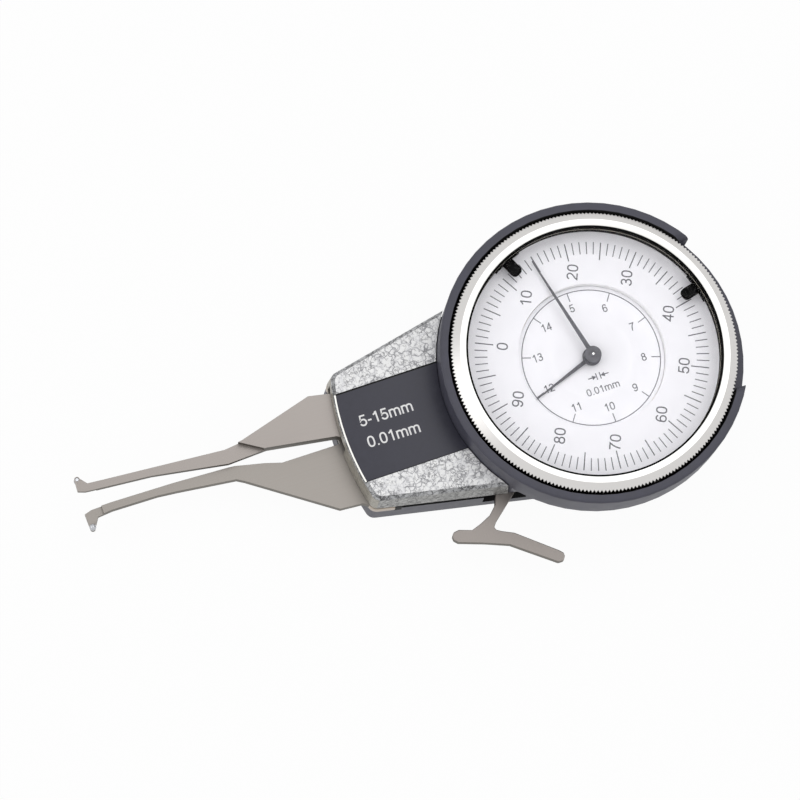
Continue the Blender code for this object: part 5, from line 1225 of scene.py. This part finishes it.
@dataclass
class BezelRing:
    """Knurled bezel, its seal, and the dial ring that turns with it."""

    bore: float = 27.6
    crest: float = 28.95
    outer: float = 30.9
    skirt_inner: float = 28.9
    bottom: float = 17.0
    shelf: float = 18.2
    edge_level: float = 21.9
    edge_round: float = 0.2
    crest_level: float = 23.3
    lip_level: float = 23.1
    teeth: int = 240
    tooth_depth: float = 0.48
    steps_per_tooth: int = 6
    ring_steps: int = 240
    gasket_inner: float = 27.2
    gasket_outer: float = 27.58
    gasket_low: float = 19.6
    gasket_high: float = 22.98
    seat_line: tuple[float, float] = (21.3, 21.7)
    window_low: float = 22.1
    window_high: float = 22.9
    window_chamfer: float = 0.02
    ring_inner: float = 15.95
    ring_outer: float = 28.7
    ring_low: float = 17.6
    ring_high: float = 18.1
    ink: float = 0.012
    zero_deg: float = 155.15
    tick_outer: float = 25.34
    short_inner: float = 22.6
    long_inner: float = 21.4
    tick_width: float = 0.2
    long_width: float = 0.24
    figure_radius: float = 19.1
    # How much further out than that radius each figure stands, from 0 to 90
    figure_reach: tuple[float, ...] = (0.6, 0.0, 0.0, 0.0, 0.0, 0.5, 0.0, 0.25, 0.1, 0.0)
    figure_shift: tuple[float, float] = (0.19, -0.22)
    figure_height: float = 2.43
    figure_stroke: float = 0.12
    sleeve_low: float = 16.1
    sleeve_outer: float = 16.4

    def build(self) -> None:
        """Make the bezel, gasket and window, and the dial ring with its marks."""
        knurled = placed("bezel_knurled", self.knurled(), BEZEL_CROWN, BEZEL_SLOPE_SHADED, BEZEL_KNURL,
                         sharp_deg=24.0, zones=self.zones)
        mounted(knurled, "bezel_body", "turned_silver", "bezel")
        seal = rounded(section(self.gasket_inner, self.gasket_outer, self.gasket_low, self.gasket_high), 0.1)
        steps = self.ring_steps
        mounted(placed("gasket_round", revolved(seal, steps), GASKET_RUBBER), "bezel_body", "seal_black",
                "crystal_gasket")
        # A painted highlight: a paler ring on the seal, below the window
        line = section(self.gasket_inner - 0.03, self.gasket_inner + 0.05, *self.seat_line)
        mounted(placed("window_seat_highlight", revolved(line, steps), GASKET_HIGHLIGHT), "bezel_body", "turned_silver")
        rim, low, high, cut = self.gasket_inner + 0.03, self.window_low, self.window_high, self.window_chamfer
        pane = np.array([(0.0, low), (rim - cut, low), (rim, low + cut), (rim, high - cut), (rim - cut, high),
                         (0.0, high)])
        mounted(placed("window_polished", revolved(pane, steps, solid=True), WINDOW), "bezel_body",
                "clear_window", "crystal")
        plate = rounded([
            (self.ring_inner, self.sleeve_low), (self.sleeve_outer, self.sleeve_low),
            (self.sleeve_outer, self.ring_low), (self.ring_outer, self.ring_low),
            (self.ring_outer, self.ring_high), (self.ring_inner, self.ring_high),
        ], 0.05)
        dial = placed("dial_ring", revolved(plate, steps), DIAL_ENAMEL, SLEEVE_PAINTED_LIGHT,
                      zones=self.sleeve_zones)
        mounted(dial, "bezel_body", "dial_white", "outer_dial")
        mounted(placed("dial_ring_marks", self.marks(), DIAL_INK), "bezel_body", "hand_grey")
        mounted(placed("dial_ring_figures", self.figures(), DIAL_INK), "bezel_body", "hand_grey")

    def zones(self, centre: np.ndarray, normal: np.ndarray) -> np.ndarray:
        """Tell the parts of the bezel from each other.

        Args:
            centre: the middles of the faces in millimetres.
            normal: their normals.

        Returns:
            0 for the crown and the bore, 1 for the outer slope in painted shade and 2 for the knurl.
        """
        reach, _ = outwardness(centre, normal)
        slope = (reach > self.crest) & (normal[:, 2] > 0.3)
        knurl = (reach > self.outer - self.tooth_depth - 0.2) & (np.abs(normal[:, 2]) <= 0.3)
        return np.where(slope, 1, np.where(knurl, 2, 0))

    def sleeve_zones(self, centre: np.ndarray, normal: np.ndarray) -> np.ndarray:
        """Return 1 for the upright wall inside the dial ring, which is painted lighter against its shade, 0
        for the rest of it.
        """
        reach, outward = outwardness(centre, normal)
        return ((outward < -0.9) & (reach < self.sleeve_outer)).astype(int)

    def knurled(self) -> Shape:
        """Make the bezel, whose outer wall has straight teeth that run out into its cone.

        The wall's radius is R - d w(a), where w is a triangle wave with one period a tooth. Where the wall
        meets the cone, its level is the cone's level at that radius.

        Returns:
            The bezel as a closed ring.
        """
        foot, rim = self.edge_level + self.edge_round, self.outer - self.edge_round
        # The first five corners are kept, because the teeth take the place of the others
        steps, kept_corners = 3, 5
        inner = rounded([
            (self.skirt_inner, self.bottom), (self.skirt_inner, self.shelf), (self.bore, self.shelf),
            (self.bore, self.lip_level), (self.crest, self.crest_level), (rim, foot),
            (self.outer, self.edge_level), (self.outer, self.bottom),
        ], 0.12, steps)[:kept_corners * (steps + 1)]
        count = self.teeth * self.steps_per_tooth
        angles = np.arange(count) * FULL_TURN / count
        wave = np.abs(((np.arange(count) / self.steps_per_tooth) % 1) * 2 - 1)
        wall = self.outer - self.tooth_depth * wave
        slope = (self.crest_level - foot) / (rim - self.crest)
        level = foot + (rim - wall) * slope
        radius = np.column_stack([
            np.broadcast_to(inner[:, 0], (count, len(inner))), wall - 0.05, wall, wall, wall,
        ])
        height = np.column_stack([
            np.broadcast_to(inner[:, 1], (count, len(inner))), level + 0.02, level - 0.12,
            np.full(count, (self.edge_level + self.bottom) / 2), np.full(count, self.bottom),
        ])
        ray = unit(angles)[:, None]
        return lattice(np.concatenate([radius[..., None] * ray, height[..., None]], -1) * MM, True, True)

    def marks(self) -> Shape:
        """Make the hundred marks of the outer scale, longer at every fifth.

        Returns:
            The marks as one shape.
        """
        number = np.arange(100)
        fifth = number % 5 == 0
        inner = np.where(fifth, self.long_inner, self.short_inner)
        widths = np.where(fifth, self.long_width, self.tick_width)
        return spokes(np.radians(self.zero_deg - 3.6 * number), inner, self.tick_outer, widths,
                      self.ring_high - self.ink, self.ring_high + self.ink)

    def figures(self) -> Shape:
        """Make the figures 0 to 90, all upright as seen with the 0 at the top.

        Returns:
            The figures as one shape.
        """
        places = unit(np.radians(self.zero_deg - 36 * np.arange(10)))
        places = places * (self.figure_radius + np.array(self.figure_reach))[:, None] + self.figure_shift
        turn = math.radians(self.zero_deg) - math.pi / 2
        return joined(
            lettered(str(10 * k), self.figure_height, self.figure_stroke, 2 * self.ink, 0.97).moved(
                turn, *place, self.ring_high) for k, place in enumerate(places))


@dataclass
class InnerDial:
    """Fixed white disc with the scale from 5 to 14."""

    bore: float = 1.6
    outer: float = 15.9
    low: float = 16.0
    high: float = 16.5
    ink: float = 0.02
    disc_steps: int = 200
    line_radius: float = 15.0
    line_width: float = 0.2
    circle_steps: int = 240
    tick_inner: float = 13.05
    figure_radius: float = 11.5
    figure_shift: tuple[float, float] = (-0.12, 0.03)
    figure_height: float = 1.73
    figure_stroke: float = 0.125
    value_height: float = 1.56
    value_y: float = -7.2
    symbol_y: float = -4.35
    # The symbol's bars: half their height, and how far they stand from the middle
    symbol_half: float = 0.75
    symbol_bar: float = 0.42
    # Its arrows: both ends of the shaft, and the tip, root and half width of the head
    symbol_shaft: tuple[float, float] = (1.1, 2.35)
    symbol_head: tuple[float, float, float] = (0.48, 1.4, 0.5)
    symbol_width: float = 0.22
    first_deg: float = 90.0

    def build(self) -> None:
        """Make the disc and everything printed on it."""
        disc = rounded(section(self.bore, self.outer, self.low, self.high), 0.05)
        mounted(placed("inner_dial_disc", revolved(disc, self.disc_steps), DIAL_ENAMEL), "case", "dial_white",
                "inner_dial")
        for name, shape, ink in (("marks", self.marks(), RING_INK), ("figures", self.figures(), DIAL_INK),
                                 ("symbol", self.symbol(), DIAL_INK)):
            mounted(placed(f"inner_dial_{name}", shape, ink), "case", "hand_grey")

    def marks(self) -> Shape:
        """Make the circle and the ten marks inside it.

        Returns:
            The circle and the marks as one shape.
        """
        half = self.line_width / 2
        low, high = self.high - self.ink, self.high + self.ink
        circle = revolved(section(self.line_radius - half, self.line_radius + half, low, high),
                          self.circle_steps)
        angles = np.radians(self.first_deg - 36 * np.arange(10))
        return circle + spokes(angles, np.full(10, self.tick_inner), self.line_radius,
                               np.full(10, self.line_width), low, high + 0.002)

    def figures(self) -> Shape:
        """Make the figures 5 to 14 and the value of a division.

        Returns:
            The figures as one shape.
        """
        value = lettered("0.01mm", self.value_height, self.figure_stroke, 2 * self.ink, 0.96).moved(
            0, 0.0, self.value_y, self.high)
        rays = unit(np.radians(self.first_deg - 36 * np.arange(10)))
        places = rays * self.figure_radius + self.figure_shift
        return joined([value] + [
            lettered(str(5 + k), self.figure_height, self.figure_stroke, 2 * self.ink, 0.9).moved(
                0, *place, self.high) for k, place in enumerate(places)])

    def symbol(self) -> Shape:
        """Make two arrows that point at two bars: the sign for a gap that is measured.

        Returns:
            The symbol as one shape.
        """
        y, bar, half = self.symbol_y, self.symbol_bar, self.symbol_half
        low, high = self.high - self.ink, self.high + self.ink
        near, far = self.symbol_shaft
        lines = bars(np.array([(-far, y), (far, y), (-bar, y - half), (bar, y - half)]),
                     np.array([(-near, y), (near, y), (-bar, y + half), (bar, y + half)]),
                     np.full(4, self.symbol_width), low, high)
        tip, root, spread = self.symbol_head
        heads = [slab(np.array([(side * tip, y), (side * root, y + spread), (side * root, y - spread)]), low,
                      high + 0.002, 0.002, 1) for side in (-1, 1)]
        return joined([lines] + heads)


@dataclass
class Hands:
    """Long hand on the centre arbor and short hand on its pipe."""

    long_deg: float = 102.3
    short_deg: float = -160.9
    long_length: float = 24.25
    short_length: float = 15.4
    long_widths: tuple[float, float] = (1.0, 0.26)
    short_widths: tuple[float, float] = (0.95, 0.24)
    root: float = 0.4
    # Lower and upper levels of the hubs, the boss and the pointers
    long_hub_levels: tuple[float, float] = (18.5, 19.5)
    long_boss_levels: tuple[float, float] = (19.4, 19.72)
    long_levels: tuple[float, float] = (18.8, 19.1)
    short_hub_levels: tuple[float, float] = (16.9, 17.5)
    short_levels: tuple[float, float] = (16.95, 17.25)
    long_hub: float = 1.83
    long_boss: float = 0.75
    short_hub: float = 2.0
    short_bore: float = 1.2
    pin_radius: float = 0.3

    def pointer(self, length: float, widths: tuple[float, float], levels: tuple[float, float], degrees: float
                ) -> Shape:
        """Make a hand that tapers evenly from its hub to a short point.

        Args:
            length: from the axis to the tip.
            widths: its widths at the root and before the tip.
            levels: its lower and upper level.
            degrees: where it points.

        Returns:
            The hand as a closed plate.
        """
        root, tip = widths
        upper = np.array([(length, 0), (length - tip * 0.3, tip * 0.35), (length - tip, tip / 2),
                          (self.root, root / 2)])
        outline = np.vstack([upper[:0:-1] * np.array([1, -1]), upper])
        return slab(outline, *levels, 0.05, 2).moved(math.radians(degrees))

    @staticmethod
    def hub(radius: float, bore: float, levels: tuple[float, float]) -> Shape:
        """Return a turned hub with a rounded edge and a bore."""
        return revolved(rounded(section(bore, radius, *levels), 0.22, 5), 72)

    def build(self) -> None:
        """Make both hands, and the end of the arbor that shows in the long one."""
        pin = self.pin_radius
        long_shape = joined([
            self.hub(self.long_hub, pin, self.long_hub_levels),
            self.hub(self.long_boss, pin, self.long_boss_levels),
            self.pointer(self.long_length, self.long_widths, self.long_levels, self.long_deg),
        ])
        mounted(placed("long_hand_lacquered", long_shape, HAND_LACQUER), "centre_spindle", "hand_grey",
                "long_hand")
        radius = pin - 0.01
        end = np.array([(0.0, 18.6), (radius, 18.6), (radius, 19.7), (radius * 0.7, 19.78), (0.0, 19.8)])
        mounted(placed("centre_pin_end", revolved(end, 36, solid=True), PIN_STEEL), "centre_spindle",
                "hard_metal")
        short_shape = self.hub(self.short_hub, self.short_bore, self.short_hub_levels)
        short_shape += self.pointer(self.short_length, self.short_widths, self.short_levels, self.short_deg)
        mounted(placed("short_hand_lacquered", short_shape, HAND_LACQUER), "hour_spindle", "hand_grey",
                "short_hand")


@dataclass
class Fasteners:
    """Slotted screws that show from below: four in the back cover and two that hold the front cover."""

    slot_width: float = 0.4
    slot_depth: float = 0.35
    edge: float = 0.1
    # Where the slot of each screw points, in degrees
    turns: tuple = (("back_cover_screw_1", 20), ("back_cover_screw_2", 75), ("back_cover_screw_3", -35),
                    ("back_cover_screw_4", 50), ("cover_screw_1", 10), ("cover_screw_2", -55))

    def build(self) -> None:
        """Replace each screw by one with a slot."""
        for node, degrees in self.turns:
            low, high = (np.array(corner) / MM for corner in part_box(node))
            self.screw(node, low, high, math.radians(degrees))

    def screw(self, node: str, low: np.ndarray, high: np.ndarray, turn: float) -> None:
        """Make one screw, with its head at the low end of its box, where the slot is cut.

        Args:
            node: the CAD node.
            low: its lowest corner in millimetres.
            high: its highest corner.
            turn: where the slot points.
        """
        head = (high[0] - low[0]) / 2 - 0.02
        shank, length, deep = head * 0.5, high[2] - low[2], self.slot_depth
        flange = revolved(rounded(section(shank * 0.5, head, deep, head * 0.6), 0.03, 2), 48)
        lean = math.asin(self.slot_width / 2 / head)
        halves = [slab(head * unit(side + np.linspace(lean, math.pi - lean, 25)), 0.0, deep + 0.02, self.edge)
                  for side in (0.0, math.pi)]
        core = revolved(np.array([(0.0, deep), (shank, deep), (shank, length - 0.1), (shank - 0.1, length),
                                  (0.0, length)]), 32, solid=True)
        middle = (low + high) / 2
        shape = joined([flange, *halves, core]).moved(turn, middle[0], middle[1], low[2])
        mounted(placed(f"{node}_slotted", shape, SCREW_STEEL), "case", "spring_steel", node)


@dataclass
class LimitMarker:
    """One black marker: a tongue with round corners, and the clip that slides in the bezel's bore."""

    node: str
    body: str
    angle_deg: float
    wall: float = 27.4
    clip_inner: float = 26.9
    clip_overlap: float = 0.2
    tip: float = 23.2
    width: float = 2.6
    low: float = 20.3
    high: float = 20.9
    clip_low: float = 19.5
    clip_high: float = 21.0
    clip_half_deg: float = 7.0
    corner: float = 1.0
    edge: float = 0.12

    def build(self) -> None:
        """Make the tongue and its clip."""
        half, root = self.width / 2, self.clip_inner + self.clip_overlap
        turn = np.linspace(math.pi / 2, math.pi, 9)
        upper = np.array([self.tip, half]) + self.corner * (unit(turn) + np.array([1, -1]))
        tongue = np.vstack([upper, upper[::-1] * np.array([1, -1]), [(root, -half), (root, half)]])
        middle, spread = math.radians(self.angle_deg), math.radians(self.clip_half_deg)
        clip = rounded(section(self.clip_inner, self.wall, self.clip_low, self.clip_high), self.edge, 2)
        shape = slab(tongue, self.low, self.high, self.edge).moved(middle)
        shape += revolved(clip, 16, middle - spread, middle + spread)
        mounted(placed(f"{self.node}_moulded", shape, MARKER_NYLON), self.body, "marker_black", self.node)


@dataclass
class Studio:
    """White floor, soft lamps and the photograph's camera."""

    lens_mm: float = 135.0
    sensor_mm: float = 36.0
    place_mm: tuple[float, float, float] = (-142.181285, -123.894516, 633.324021)
    turn_deg: tuple[float, float, float] = (14.022859, -4.679299, -19.856507)
    clip_start: float = 0.01
    floor_half: float = 3.0
    floor_drop_mm: float = 0.05
    world_strength: float = 0.63
    aim: tuple[float, float, float] = (-0.04, 0.0, 0.01)
    # Each lamp's name, place and width in metres, and watts
    lamps: tuple = (("soft_right", (0.3, 0.3, 1.05), 0.8, 1.6), ("soft_left", (-0.9, 0.2, 0.7), 0.7, 1.3))

    def build(self) -> None:
        """Set up the camera, the floor, the sky and the lamps."""
        scene = bpy.context.scene
        scene.view_settings.view_transform = "Standard"
        data = bpy.data.cameras.new("photograph")
        data.lens = self.lens_mm
        data.sensor_width = self.sensor_mm
        data.clip_start = self.clip_start
        camera = bpy.data.objects.new("photograph", data)
        camera.location = Vector(self.place_mm) * MM
        camera.rotation_euler = Euler([math.radians(a) for a in self.turn_deg], "XYZ")
        scene.collection.objects.link(camera)
        scene.camera = camera
        self.build_floor()
        self.build_world()
        for lamp in self.lamps:
            self.hang(*lamp)

    def build_floor(self) -> None:
        """Lay the white floor just under the back cover."""
        corners = np.array([(-1, -1), (1, -1), (1, 1), (-1, 1)]) * self.floor_half
        points = np.column_stack([corners, np.full(4, -self.floor_drop_mm * MM)])
        floor = placed("floor", Shape(points, [(0, 1, 2, 3)]), FLOOR_PAPER)

    def build_world(self) -> None:
        """Light everything evenly, and show white to the camera, to mirrors and through glass."""
        world = bpy.data.worlds.new("studio")
        bpy.context.scene.world = world
        world.use_nodes = True
        tree = world.node_tree
        tree.nodes.clear()
        strength = add_node(tree, "MapRange", values={"To Min": self.world_strength, "To Max": 1.0},
                            links={"Value": seen_rays(tree)})
        sky = add_node(tree, "Background", values={"Color": (1, 1, 1, 1)},
                       links={"Strength": strength.outputs[0]})
        add_node(tree, "OutputWorld", links={"Surface": sky.outputs[0]})

    def hang(self, name: str, place: tuple[float, float, float], size: float, watts: float) -> None:
        """Hang a large square lamp that faces the gauge.

        Args:
            name: the lamp's name.
            place: where it hangs, in metres.
            size: the length of its sides in metres.
            watts: its power.
        """
        data = bpy.data.lights.new(name, "AREA")
        data.size = size
        data.energy = watts
        holder = bpy.data.objects.new(name, data)
        holder.location = place
        holder.rotation_euler = (Vector(self.aim) - Vector(place)).to_track_quat("-Z", "Y").to_euler()
        bpy.context.scene.collection.objects.link(holder)


def finish_hardware() -> None:
    """Give every CAD node that stays the finish of its material slot."""
    for name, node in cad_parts.items():
        slots = node.data.materials
        key = next((material.name.split(".")[0] for material in slots if material), "satin_steel")
        finish = SLOT_FINISHES.get(key, ARM_STEEL)
        if not slots:
            slots.append(finish.made())
        for index in range(len(slots)):
            slots[index] = finish.made()
        LOG.info("%s keeps its solid, as %s (%s)", name, finish.name, key)


def main() -> None:
    """Build the gauge's sub-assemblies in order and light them."""
    logging.basicConfig(level=logging.INFO, format="%(name)s: %(message)s")
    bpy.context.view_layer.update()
    finish_hardware()
    low_marker = LimitMarker("limit_marker_low", "low_marker_body", 113.4)
    high_marker = LimitMarker("limit_marker_high", "high_marker_body", 13.8)
    for part in (Studio(), Housing(), MeasuringArms(), BezelRing(), InnerDial(), Hands(), Fasteners(),
                 low_marker, high_marker):
        part.build()


if __name__ == "__main__":
    main()
